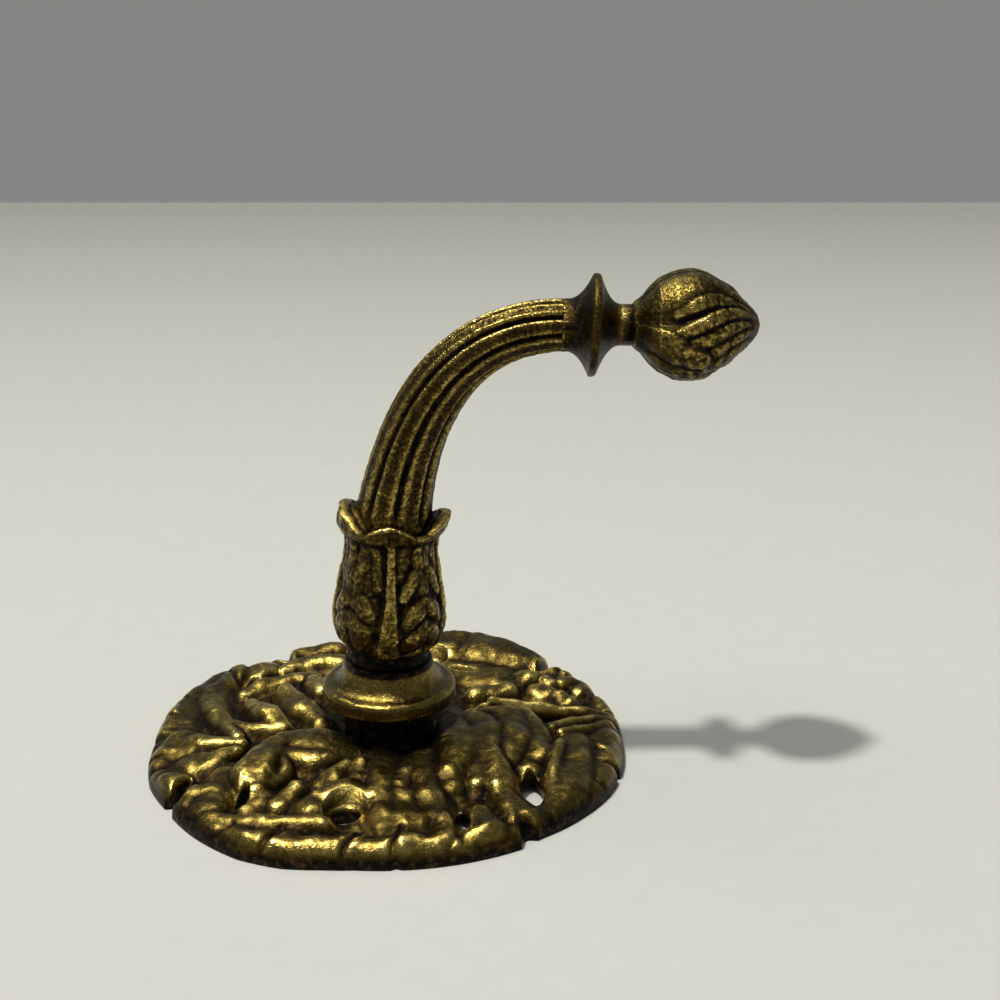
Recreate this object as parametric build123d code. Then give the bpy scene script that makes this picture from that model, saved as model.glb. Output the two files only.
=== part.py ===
from build123d import *
import math
import os

# Ornamental wall hook: a pierced acanthus rosette with a turned collar on its hub, a cast arm that
# grows out of a leafy calyx and ends in a disc and a bud, and the stud and nut that hold them together.
# Millimetres. The wall face is z = 0, +Z points away from the wall and +X is the way the arm bends.

# Rosette
rosette_d = 70.0
rim_land = 2.4
rim_top_z = 1.7
valley_rise = 3.2
relief_rise = 4.3
shell_wall = 1.5
drawn_radius = 35.0
lobe_tip_share = 0.47
knob_share = 1.2

# Hub in the middle of the rosette
hub_d = 12.6
hub_top_z = 8.4
hub_web = 2.9
nut_pocket_gap = 0.65
recess_width = 3.0
recess_z = 3.6

# Wall screws
screw_circle_d = 50.0
screw_angle = 259.0
screw_count = 2
screw_hole_d = 4.5
screw_seat_d = 7.0
screw_seat_z = 2.6

# Collar
collar_d = 19.6
collar_band_z = 9.0
collar_band_h = 2.7
collar_height = 6.8
collar_neck_d = 12.6
collar_seat_d = 13.6
collar_edge = 0.35

# Stud and nut
stud_d = 4.0
stud_back_z = 1.6
stud_in_arm = 7.0
bore_clearance = 0.05
stud_end_gap = 1.2
nut_flats = 7.0
nut_height = 3.2

# Calyx at the foot of the arm
calyx_foot_d = 11.4
calyx_belly_d = 16.4
calyx_belly_rise = 7.0
calyx_waist_d = 13.8
calyx_waist_rise = 17.2
crown_d = 16.6
crown_rise = 22.0
crown_tip_rise = 1.7
crown_dip = 2.2
crown_notch_d = 6.6
leaf_relief = 0.9
leaf_count = 4
midrib_foot = 3.6
midrib_top = 1.5
calyx_lean = 2.4
foot_pad_h = 1.2

# Arm
arm_foot_d = 9.8
arm_end_d = 7.3
arm_foot_x = 1.0
arm_foot_rise = 20.5
arm_reach = 25.2
arm_height = 64.8
arm_foot_lean = 6.7
arm_foot_pull = 17.5
arm_end_pull = 14.5
flute_count = 8
flute_depth = 0.62
flute_gap_share = 0.30
flute_turn = 3.0
arm_sections = 9

# Disc, neck and bud at the end of the arm
disc_d = 14.2
disc_x = 29.0
disc_edge = 0.7
disc_flank = 3.4
neck_d = 5.7
neck_x = 32.8
bud_d = 15.8
bud_x = 42.2
bud_tip_x = 52.0
bud_foot_x = 34.4
bud_leaf_count = 5
bud_leaf_relief = 0.7
bud_leaf_turn = 24.0

os.makedirs("parts", exist_ok=True)

rosette_r = rosette_d / 2
hub_r = hub_d / 2
stud_r = stud_d / 2
bore_r = stud_r + bore_clearance
collar_top_z = hub_top_z + collar_height
draw_scale = rosette_r / drawn_radius

# Leaf lobes of the rosette, drawn at the radius above: start x, start y, end x, end y,
# half width, and the crest height at both ends as shares of the full relief.
LOBES = [
    # back-left rim leaf with its fan of ribs
    (-23.0, 23.5, -28.5, 10.0, 3.6, 0.45, 0.50),
    (-28.5, 10.0, -22.0, -4.5, 3.4, 0.50, 0.62),
    (-22.0, -5.0, -30.0, -3.0, 2.2, 0.66, 0.35),
    (-21.5, -6.5, -27.0, -11.0, 2.4, 0.66, 0.45),
    (-30.5, -15.0, -29.5, -14.0, 2.6, 0.45, 0.45),
    # knob, roll and lobes of the leaf behind it
    (-21.2, 21.5, -20.8, 22.0, 2.8, 0.72, 0.72),
    (-18.5, 28.0, -10.0, 30.5, 2.6, 0.55, 0.60),
    (-20.0, 5.0, -15.5, -1.0, 3.0, 0.95, 0.95),
    (-15.0, 10.0, -13.0, 6.5, 2.6, 0.85, 0.80),
    (-12.0, 17.5, -10.0, 13.0, 2.8, 0.70, 0.75),
    # left leaf that curls over towards the hub
    (-14.0, -3.0, -8.0, -6.5, 3.2, 0.95, 0.90),
    (-8.0, -6.5, -5.4, -7.2, 2.2, 0.90, 0.55),
    (-17.0, -9.5, -18.0, -17.0, 3.2, 1.00, 0.72),
    (-24.0, -20.5, -22.0, -19.0, 2.8, 0.55, 0.60),
    # front-left rim leaf
    (-26.0, -24.0, -17.0, -29.5, 2.8, 0.20, 0.46),
    (-17.0, -29.5, -4.0, -32.4, 3.4, 0.46, 0.42),
    (-19.5, -25.0, -9.5, -26.2, 1.8, 0.45, 0.40),
    (-7.5, -14.5, -8.0, -12.5, 2.3, 0.85, 0.90),
    (-3.6, -14.0, -3.2, -12.0, 2.3, 0.85, 0.90),
    (-9.5, -22.5, -9.0, -19.5, 2.4, 0.60, 0.70),
    # front rim segments
    (-2.0, -32.0, 5.0, -32.0, 3.0, 0.45, 0.42),
    (7.5, -32.8, 17.0, -30.5, 2.6, 0.38, 0.30),
    # front ribs that run from the hub to the rim
    (-0.5, -9.0, 0.0, -18.0, 2.3, 0.70, 0.60),
    (4.5, -10.0, 6.8, -26.0, 2.6, 0.85, 0.55),
    (3.0, -26.5, 4.0, -27.5, 2.2, 0.52, 0.50),
    # right acanthus lobes
    (9.5, -6.0, 13.0, -8.5, 4.0, 1.00, 1.00),
    (9.0, -9.0, 9.6, -17.5, 2.4, 0.95, 0.72),
    (13.2, -10.0, 14.2, -18.0, 2.2, 0.95, 0.68),
    (16.0, -9.0, 17.0, -17.0, 2.2, 0.88, 0.60),
    (14.0, 3.0, 18.0, -6.0, 2.6, 0.95, 0.90),
    (17.5, 4.0, 21.0, -10.5, 2.4, 0.80, 0.72),
    (19.2, -25.0, 18.6, -23.5, 2.4, 0.50, 0.55),
    (13.8, -28.0, 13.8, -27.0, 2.8, 0.52, 0.52),
    # right rim leaf
    (24.5, -4.5, 22.5, -21.0, 3.0, 0.62, 0.45),
    (27.5, -4.0, 31.0, -12.0, 3.6, 0.50, 0.34),
    (31.0, -12.0, 22.5, -26.5, 3.4, 0.34, 0.34),
    (27.0, 5.5, 32.5, 2.0, 2.0, 0.55, 0.35),
    # back-right rolled leaf and its nubs
    (7.0, 29.0, 23.2, 21.6, 3.2, 0.72, 0.60),
    (15.5, 12.5, 9.5, 12.0, 3.0, 0.72, 0.80),
    (20.5, 18.0, 22.5, 13.5, 2.2, 0.62, 0.60),
    (26.5, 16.5, 28.0, 20.5, 2.4, 0.50, 0.36),
    (31.5, 10.0, 31.0, 8.0, 2.4, 0.36, 0.36),
    # lobes hidden behind the calyx
    (-2.5, 12.0, -3.5, 22.0, 2.8, 0.85, 0.62),
    (3.5, 12.5, 5.0, 21.5, 2.8, 0.85, 0.62),
    (-6.5, 29.5, 5.0, 30.5, 2.8, 0.50, 0.50),
]

# Notches between the rim leaves: angle in degrees and width
RIM_NOTCHES = [
    (169.0, 1.6), (181.0, 1.6), (192.0, 1.8), (214.0, 2.6), (274.5, 2.2), (305.0, 2.8), (343.0, 1.4),
    (12.0, 1.6), (24.0, 1.8), (34.0, 1.8), (43.0, 2.6), (79.0, 2.2), (104.0, 2.2), (126.0, 2.8), (134.0, 2.4),
]

# Piercings between the leaves, at the drawn radius: centre x, centre y, length, width, angle
PIERCINGS = [
    (21.3, -20.8, 5.0, 2.6, 108.0),
    (11.0, -29.2, 4.6, 1.1, 108.0),
    (-19.0, -24.0, 2.6, 1.3, 20.0),
    (-27.6, -19.0, 3.2, 0.9, 20.0),
    (-22.4, 13.8, 3.4, 1.0, 30.0),
    (10.5, 20.0, 5.0, 1.6, 150.0),
    (-9.5, 22.5, 4.6, 1.4, 20.0),
]


def ground_z(radius):
    """Ground of the relief: a shallow cone that falls towards the rim."""
    return rim_top_z + valley_rise * (1 - radius / rosette_r)


def make_dome():
    """Blank of the rosette: rim, domed ground, a sunk ring round the hub, and the hub itself."""
    recess_r = hub_r + recess_width
    section = Polyline((0, 0), (rosette_r, 0), (rosette_r, rim_top_z), (recess_r, ground_z(recess_r)),
                       (hub_r + recess_width / 2, recess_z), (hub_r, recess_z), (hub_r, hub_top_z), (0, hub_top_z),
                       close=True)
    return revolve(Plane.XZ * make_face(section), axis=Axis.Z)


def make_lobe(lobe):
    """One leaf lobe: a teardrop that lies on the ground with its crest along the given line."""
    start_x, start_y, end_x, end_y, half_width, start_share, end_share = lobe
    radius = half_width * draw_scale

    def crest_axis(x, y, share):
        placed = Vector(x, y, 0) * draw_scale
        crest_z = ground_z(placed.length) + relief_rise * share
        return Vector(placed.X, placed.Y, crest_z - radius)

    start = crest_axis(start_x, start_y, start_share)
    end = crest_axis(end_x, end_y, end_share)
    run = end - start
    tip = radius * lobe_tip_share
    if run.length < radius * knob_share:
        return Pos(*start) * Sphere(radius)
    lean = math.acos((radius - tip) / run.length)
    slope = Vector(math.cos(lean), math.sin(lean))
    shoulder = slope * radius
    tip_shoulder = Vector(run.length, 0) + slope * tip
    butt = ThreePointArc((-radius, 0), (-radius * math.cos(lean / 2), radius * math.sin(lean / 2)), shoulder)
    nose_mid = Vector(run.length, 0) + Vector(math.cos(lean / 2), math.sin(lean / 2)) * tip
    nose = ThreePointArc(tip_shoulder, nose_mid, (run.length + tip, 0))
    edge = butt + Line(shoulder, tip_shoulder) + nose + Line((run.length + tip, 0), (-radius, 0))
    teardrop = revolve(make_face(edge), axis=Axis.X)
    along = run.normalized()
    upright = Vector(0, 0, 1) - along * along.Z
    return Plane(origin=start, x_dir=along, z_dir=upright) * teardrop


def polar_place(radius, angle):
    """Location on the wall face at a radius and an angle from +X."""
    turn = math.radians(angle)
    return Pos(radius * math.cos(turn), radius * math.sin(turn), 0)


def screw_places():
    """Locations of the wall screws on their circle."""
    return [polar_place(screw_circle_d / 2, screw_angle + screw * 360 / screw_count) for screw in range(screw_count)]


def make_back_hollow():
    """Hollow of the shell, one wall below the ground, with a post left standing round each screw."""
    inner_r = rosette_r - rim_land
    wall_r = inner_r - rim_land / 2
    pocket_r = nut_flats / math.sqrt(3) + nut_pocket_gap
    pocket_top = hub_top_z - hub_web
    web_z = recess_z - shell_wall
    section = Polyline((0, -1), (inner_r, -1), (inner_r, 0), (wall_r, ground_z(wall_r) - shell_wall),
                       (hub_r + recess_width, web_z), (pocket_r, web_z), (pocket_r, pocket_top), (0, pocket_top),
                       close=True)
    hollow = revolve(Plane.XZ * make_face(section), axis=Axis.Z)
    for place in screw_places():
        hollow -= place * Cylinder(screw_seat_d / 2 + shell_wall, screw_seat_z * 2)
    return hollow


def make_rosette():
    """Pierced cast shell with its hub, two seated screw holes and the bore for the stud."""
    upward = (Align.CENTER, Align.CENTER, Align.MIN)
    body = make_dome() + [make_lobe(lobe) for lobe in LOBES]
    body = body & Cylinder(rosette_r, rosette_d, align=upward)
    body -= make_back_hollow()
    body -= Cylinder(bore_r, rosette_d)
    for place in screw_places():
        body -= place * Pos(0, 0, screw_seat_z) * Cylinder(screw_seat_d / 2, rosette_d, align=upward)
        body -= place * Cylinder(screw_hole_d / 2, rosette_d)
    for angle, width in RIM_NOTCHES:
        body -= Rot(0, 0, angle) * Pos(rosette_r, 0, 0) * Cylinder(width / 2, rosette_d)
    for x, y, length, width, angle in PIERCINGS:
        slot = extrude(SlotOverall(length * draw_scale, width * draw_scale, rotation=angle), amount=rosette_d)
        body -= Pos(x * draw_scale, y * draw_scale, -shell_wall) * slot
    return body


def make_collar():
    """Turned ring: a seat on the hub, a plain band and a cavetto that sweeps up to the neck."""
    band_r = collar_d / 2
    neck_r = collar_neck_d / 2
    band_top = collar_band_z + collar_band_h
    lip_r = band_r - collar_edge
    foot = Polyline((bore_r, hub_top_z), (collar_seat_d / 2, hub_top_z), (band_r - collar_edge, collar_band_z),
                    (band_r, collar_band_z + collar_edge), (band_r, band_top - collar_edge), (lip_r, band_top))
    hollow_mid = (neck_r + (lip_r - neck_r) * 0.30, band_top + (collar_top_z - band_top) * 0.34)
    cavetto = ThreePointArc((lip_r, band_top), hollow_mid, (neck_r, collar_top_z))
    bore = Polyline((neck_r, collar_top_z), (bore_r, collar_top_z), (bore_r, hub_top_z))
    return revolve(Plane.XZ * make_face(foot + cavetto + bore), axis=Axis.Z)


def calyx_side(inset):
    """Points of the calyx flank from its foot to the crown, set in by the given depth."""
    foot_z = collar_top_z
    return [
        (calyx_foot_d / 2 - inset, foot_z),
        (calyx_belly_d * 0.46 - inset, foot_z + calyx_belly_rise * 0.42),
        (calyx_belly_d / 2 - inset, foot_z + calyx_belly_rise),
        (calyx_belly_d * 0.475 - inset, foot_z + calyx_belly_rise * 1.6),
        (calyx_waist_d / 2 - inset, foot_z + calyx_waist_rise),
        (crown_d / 2 - inset, foot_z + crown_rise),
    ]


def make_calyx_turning(inset):
    """Solid of revolution inside the calyx flank, with the hollow mouth that the arm grows from."""
    side = calyx_side(inset)
    tip = (side[-1][0] - 0.5, side[-1][1] + crown_tip_rise)
    mouth = (arm_foot_d / 2 - 0.6, side[-1][1] + crown_tip_rise - crown_dip)
    flank = Spline(*side)
    rim = ThreePointArc(side[-1], (side[-1][0] + 0.15, side[-1][1] + crown_tip_rise * 0.6), tip)
    bowl = ThreePointArc(tip, ((tip[0] + mouth[0]) / 2 - 0.3, mouth[1] + 0.15), mouth)
    close = Polyline(mouth, (0, mouth[1]), (0, collar_top_z), side[0])
    return revolve(Plane.XZ * make_face(flank + rim + bowl + close), axis=Axis.Z)


def make_leaf_column():
    """Outline of one calyx leaf, midrib and paired lobes, extruded away from the axis along +X."""
    foot_z = collar_top_z
    top_z = foot_z + crown_rise + crown_tip_rise
    rib = make_face(Polyline((-midrib_foot / 2, foot_z), (midrib_foot / 2, foot_z), (midrib_top / 2, foot_z + 15.0),
                             (midrib_top / 2, top_z), (-midrib_top / 2, top_z), (-midrib_top / 2, foot_z + 15.0),
                             close=True))
    outline = rib
    for side in (-1, 1):
        for across, rise, width, height, turn in LEAF_LOBES:
            outline += Pos(side * across, foot_z + rise) * Rot(0, 0, side * turn) * Ellipse(width / 2, height / 2)
    top_band = Pos(0, foot_z + crown_rise) * Rectangle(calyx_belly_d, crown_rise - calyx_waist_rise)
    outline += top_band
    return Plane.YZ * extrude(outline, amount=calyx_belly_d)


# Lobes beside a calyx leaf's midrib: across, rise above the foot, width, height and turn
LEAF_LOBES = [
    (3.9, 4.6, 3.4, 4.8, 14.0),
    (3.6, 9.6, 3.0, 5.0, 18.0),
    (3.2, 14.6, 2.2, 4.6, 20.0),
]


def make_calyx():
    """Calyx with raised leaves round a sunk ground and notches between the crown's petals."""
    turning = make_calyx_turning(0)
    body = make_calyx_turning(leaf_relief)
    column = make_leaf_column()
    for quarter in range(leaf_count):
        body += turning & (Rot(0, 0, quarter * 360 / leaf_count) * column)
    notch_z = collar_top_z + crown_rise + crown_tip_rise + crown_notch_d * 0.18
    for quarter in range(leaf_count):
        turn = (quarter + 0.5) * 360 / leaf_count
        notch = Rot(0, 0, turn) * Pos(crown_d / 2, 0, notch_z) * Rot(0, 90, 0) * Cylinder(crown_notch_d / 2, crown_d / 2)
        body -= notch
    return body


def fluted_section(radius):
    """Section of the arm: flat bands with narrow grooves between them, in the local XY plane."""
    step = 360 / flute_count
    half_gap = step * flute_gap_share / 2

    def at(distance, angle):
        return (distance * math.cos(math.radians(angle)), distance * math.sin(math.radians(angle)))

    edges = []
    for flute in range(flute_count):
        groove = flute_turn - 90 + flute * step
        start = at(radius, groove - half_gap)
        end = at(radius, groove + half_gap)
        band_end = at(radius, groove + step - half_gap)
        edges.append(ThreePointArc(start, at(radius - flute_depth, groove), end))
        edges.append(ThreePointArc(end, at(radius * 0.985, groove + step / 2), band_end))
    return make_face(Curve() + edges)


def make_fluted_arm():
    """Arm that rises out of the calyx and bends over to run level, with its flutes along it."""
    foot = Vector(arm_foot_x, 0, collar_top_z + arm_foot_rise)
    lean = math.radians(arm_foot_lean)
    end = Vector(arm_reach, 0, arm_height)
    pull_up = foot + Vector(math.sin(lean), 0, math.cos(lean)) * arm_foot_pull
    pull_back = end - Vector(arm_end_pull, 0, 0)
    axis = Bezier(foot, pull_up, pull_back, end)
    sections = []
    for step in range(arm_sections):
        along = step / (arm_sections - 1)
        radius = (arm_foot_d + (arm_end_d - arm_foot_d) * along) / 2
        place = Plane(origin=axis @ along, x_dir=(0, 1, 0), z_dir=axis % along)
        sections.append(place * fluted_section(radius))
    return loft(sections)


def make_bud_turning(inset):
    """Disc, neck and bud as one turning about the level end of the arm, set in on the bud only."""
    disc_r = disc_d / 2
    neck_r = neck_d / 2
    bud_r = bud_d / 2 - inset
    start = (arm_reach - 0.4, arm_end_d / 2 - 0.25)
    rim_in = (disc_x - disc_edge / 2, disc_r)
    rim_out = (disc_x + disc_edge / 2, disc_r)
    neck = (neck_x, neck_r)
    flank_in = ThreePointArc(start, (disc_x - disc_flank * 0.42, start[1] + (disc_r - start[1]) * 0.26), rim_in)
    flank_out = ThreePointArc(rim_out, (disc_x + disc_flank * 0.38, neck_r + (disc_r - neck_r) * 0.30), neck)
    foot = (bud_foot_x, neck_r + 0.45)
    tip = (bud_tip_x - inset, 0.0)
    bud = Spline(foot, (bud_foot_x + (bud_x - bud_foot_x) * 0.36, bud_r * 0.78), (bud_x, bud_r),
                 (bud_x + (bud_tip_x - bud_x) * 0.45, bud_r * 0.80),
                 (bud_x + (bud_tip_x - bud_x) * 0.82, bud_r * 0.40), tip)
    edge = flank_in + Line(rim_in, rim_out) + flank_out + Line(neck, foot) + bud
    back = Polyline(tip, (start[0], 0), start)
    profile = make_face(edge + back)
    turning = revolve(Plane.XZ * profile, axis=Axis.X)
    return Pos(0, 0, arm_height) * turning


def make_bud():
    """Disc, neck and bud; the bud's leaves stand proud of its core and wind round it."""
    body = make_bud_turning(bud_leaf_relief)
    full = make_bud_turning(0)
    length = bud_tip_x - bud_foot_x
    leaf = Pos(bud_foot_x + length * 0.56, 0) * Rot(0, 0, bud_leaf_turn) * Ellipse(length * 0.54, bud_d * 0.20)
    column = extrude(leaf, amount=bud_d)
    for turn in range(bud_leaf_count):
        placed = Pos(0, 0, arm_height) * Rot(turn * 360 / bud_leaf_count, 0, 0) * column
        body += full & placed
    return body


def make_arm():
    """One casting: calyx, fluted arm, disc, neck and bud, with a flat foot and a blind bore."""
    foot_z = collar_top_z
    leaning = Pos(0, 0, foot_z) * Rot(0, calyx_lean, 0) * Pos(0, 0, -foot_z) * make_calyx()
    body = leaning + make_fluted_arm() + make_bud()
    foot = Cylinder(calyx_foot_d / 2 - leaf_relief, foot_pad_h, align=(Align.CENTER, Align.CENTER, Align.MIN))
    body += Pos(0, 0, foot_z) * foot
    body = split(body, Plane.XY.offset(foot_z), keep=Keep.TOP)
    bore = Cylinder(bore_r, stud_in_arm + stud_end_gap, align=(Align.CENTER, Align.CENTER, Align.MIN))
    return body - Pos(0, 0, foot_z) * bore


def make_stud():
    """Threaded rod between the nut and the arm, drawn at its outer diameter."""
    length = collar_top_z + stud_in_arm - stud_back_z
    rod = Cylinder(stud_r, length, align=(Align.CENTER, Align.CENTER, Align.MIN))
    rod = chamfer(rod.edges().filter_by(GeomType.CIRCLE), stud_d * 0.1)
    return Pos(0, 0, stud_back_z) * rod


def make_nut():
    """Hexagon nut against the web of the hub."""
    top = hub_top_z - hub_web
    hexagon = RegularPolygon(nut_flats / 2, 6, major_radius=False)
    nut = extrude(hexagon, amount=nut_height)
    corner_r = nut_flats / math.sqrt(3)
    flat_r = nut_flats / 2
    chamfer_h = (corner_r - flat_r) * 0.6
    turning = make_face(Polyline((0, 0), (flat_r, 0), (corner_r, chamfer_h), (corner_r, nut_height - chamfer_h),
                                 (flat_r, nut_height), (0, nut_height), close=True))
    nut = nut & revolve(Plane.XZ * turning, axis=Axis.Z)
    nut -= Cylinder(bore_r, nut_height * 3)
    return Pos(0, 0, top - nut_height) * nut


NODES = {
    "rosette": make_rosette,
    "collar": make_collar,
    "arm": make_arm,
    "stud": make_stud,
    "nut": make_nut,
}

for name, make in NODES.items():
    export_step(make(), f"parts/{name}.step")
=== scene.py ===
"""Dresses the ornamental wall hook: relief rosette, turned collar, leafy calyx, fluted arm, disc and bud,
with the threaded stud and the nut that hold them together. Shapes are drawn in millimetres."""

import math

import bmesh
import bpy
import numpy as np
from bpy.props import FloatProperty, FloatVectorProperty, IntProperty, PointerProperty
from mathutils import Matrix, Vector, noise


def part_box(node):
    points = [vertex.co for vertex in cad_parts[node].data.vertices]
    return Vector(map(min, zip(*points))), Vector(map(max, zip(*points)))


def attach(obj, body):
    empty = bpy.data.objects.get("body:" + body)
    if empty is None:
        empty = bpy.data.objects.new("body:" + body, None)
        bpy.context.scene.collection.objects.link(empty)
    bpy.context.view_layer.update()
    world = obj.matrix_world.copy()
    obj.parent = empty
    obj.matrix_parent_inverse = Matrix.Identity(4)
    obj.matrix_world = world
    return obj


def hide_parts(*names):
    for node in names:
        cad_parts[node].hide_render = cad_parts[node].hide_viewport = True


bl_info = {
    "name": "Ornamental wall hook",
    "version": (1, 0, 0),
    "blender": (4, 5, 0),
    "location": "View3D > Sidebar > Wall hook",
    "description": "Builds the cast and turned pieces of an ornamental wall hook round its fixed model",
    "category": "Add Mesh",
}

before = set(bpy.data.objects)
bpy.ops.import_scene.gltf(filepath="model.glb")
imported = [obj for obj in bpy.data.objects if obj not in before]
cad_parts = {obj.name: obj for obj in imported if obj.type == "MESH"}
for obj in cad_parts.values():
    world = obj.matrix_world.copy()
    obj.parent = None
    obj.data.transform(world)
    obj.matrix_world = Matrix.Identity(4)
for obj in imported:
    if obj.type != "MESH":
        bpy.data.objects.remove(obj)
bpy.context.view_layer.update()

MM = 0.001
WELD = 2e-6
TINY = 1e-6

# Sizes that several shapes share: radius of the rosette's rim and of the bore round the stud
ROSETTE_RADIUS = 35.0
BORE_RADIUS = 2.05

# Squares round and along the grids
CALYX_GRID, ARM_GRID, BUD_GRID, THREAD_GRID = (240, 170), (176, 190), (200, 110), (36, 190)

# Values of the hollow_and_shade attribute: on a crest, on the level, in a groove, and where painted shade makes it
# darkest
CREST, LEVEL, GROOVE, DARKEST = 0.28, 0.5, 0.88, 1.4

# Stage: half width and far edge of the table, half width, distance, foot and top of the backdrop
TABLE_HALF, TABLE_BACK = 900, 435
BACKDROP_HALF, BACKDROP_AWAY, BACKDROP_LOW, BACKDROP_HIGH = 1500, 1200, -600, 900

# Painted shade that darkens the table towards the back: where it is full, how it sets in and how strong it is
FADE_END, FADE_POWER, TABLE_BACK_SHADE = 420.0, 1.6, 0.43

# Light of the room from all sides
ROOM_COLOUR, ROOM_STRENGTH = (0.80, 0.82, 0.84, 1.0), 0.20

# Camera: place, tilt in degrees, focal length and width of the sensor
CAMERA_PLACE = (16.26, -257.43, 130.07)
CAMERA_TILT, CAMERA_LENS, CAMERA_SENSOR = 70.58, 69.34, 36.0


def node_box(node):
    """Lowest and highest corner of a node of the model, in millimetres."""
    low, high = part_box(node)
    return np.array(low) / MM, np.array(high) / MM


ROSETTE_LOW, ROSETTE_HIGH = node_box("rosette")
COLLAR_LOW, COLLAR_HIGH = node_box("collar")
ARM_LOW, ARM_HIGH = node_box("arm")
STUD_LOW, STUD_HIGH = node_box("stud")
NUT_LOW, NUT_HIGH = node_box("nut")

# Outline of the rosette: angle in degrees and radius
RIM_LINE = (
    (0, 34.6), (20, 35.0), (43, 34.8), (60, 35.0), (90, 34.8), (120, 35.0), (136, 36.4), (150, 35.6), (180, 35.0),
    (200, 35.8), (212, 35.6), (226, 36.5), (240, 37.2), (250, 36.8), (258, 35.7), (265, 35.1), (285, 35.2),
    (304, 35.2), (309, 34.5), (335, 35.0), (360, 34.6),
)

# Notches in that outline: angle in degrees, depth and half width along the rim
RIM_NOTCHES = (
    (213.4, 2.3, 1.3), (274.3, 0.35, 0.8), (305.6, 1.3, 1.6), (343, 0.7, 0.8), (12, 0.9, 1.0), (24, 1.2, 1.1),
    (34, 1.4, 1.2), (43, 2.9, 1.9), (79, 1.2, 1.3), (104, 1.3, 1.3), (124, 2.6, 1.8), (133, 2.2, 1.4),
    (161, 0.9, 0.9), (171, 0.9, 0.9), (181, 0.8, 0.9), (192, 0.9, 0.9),
)

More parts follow.
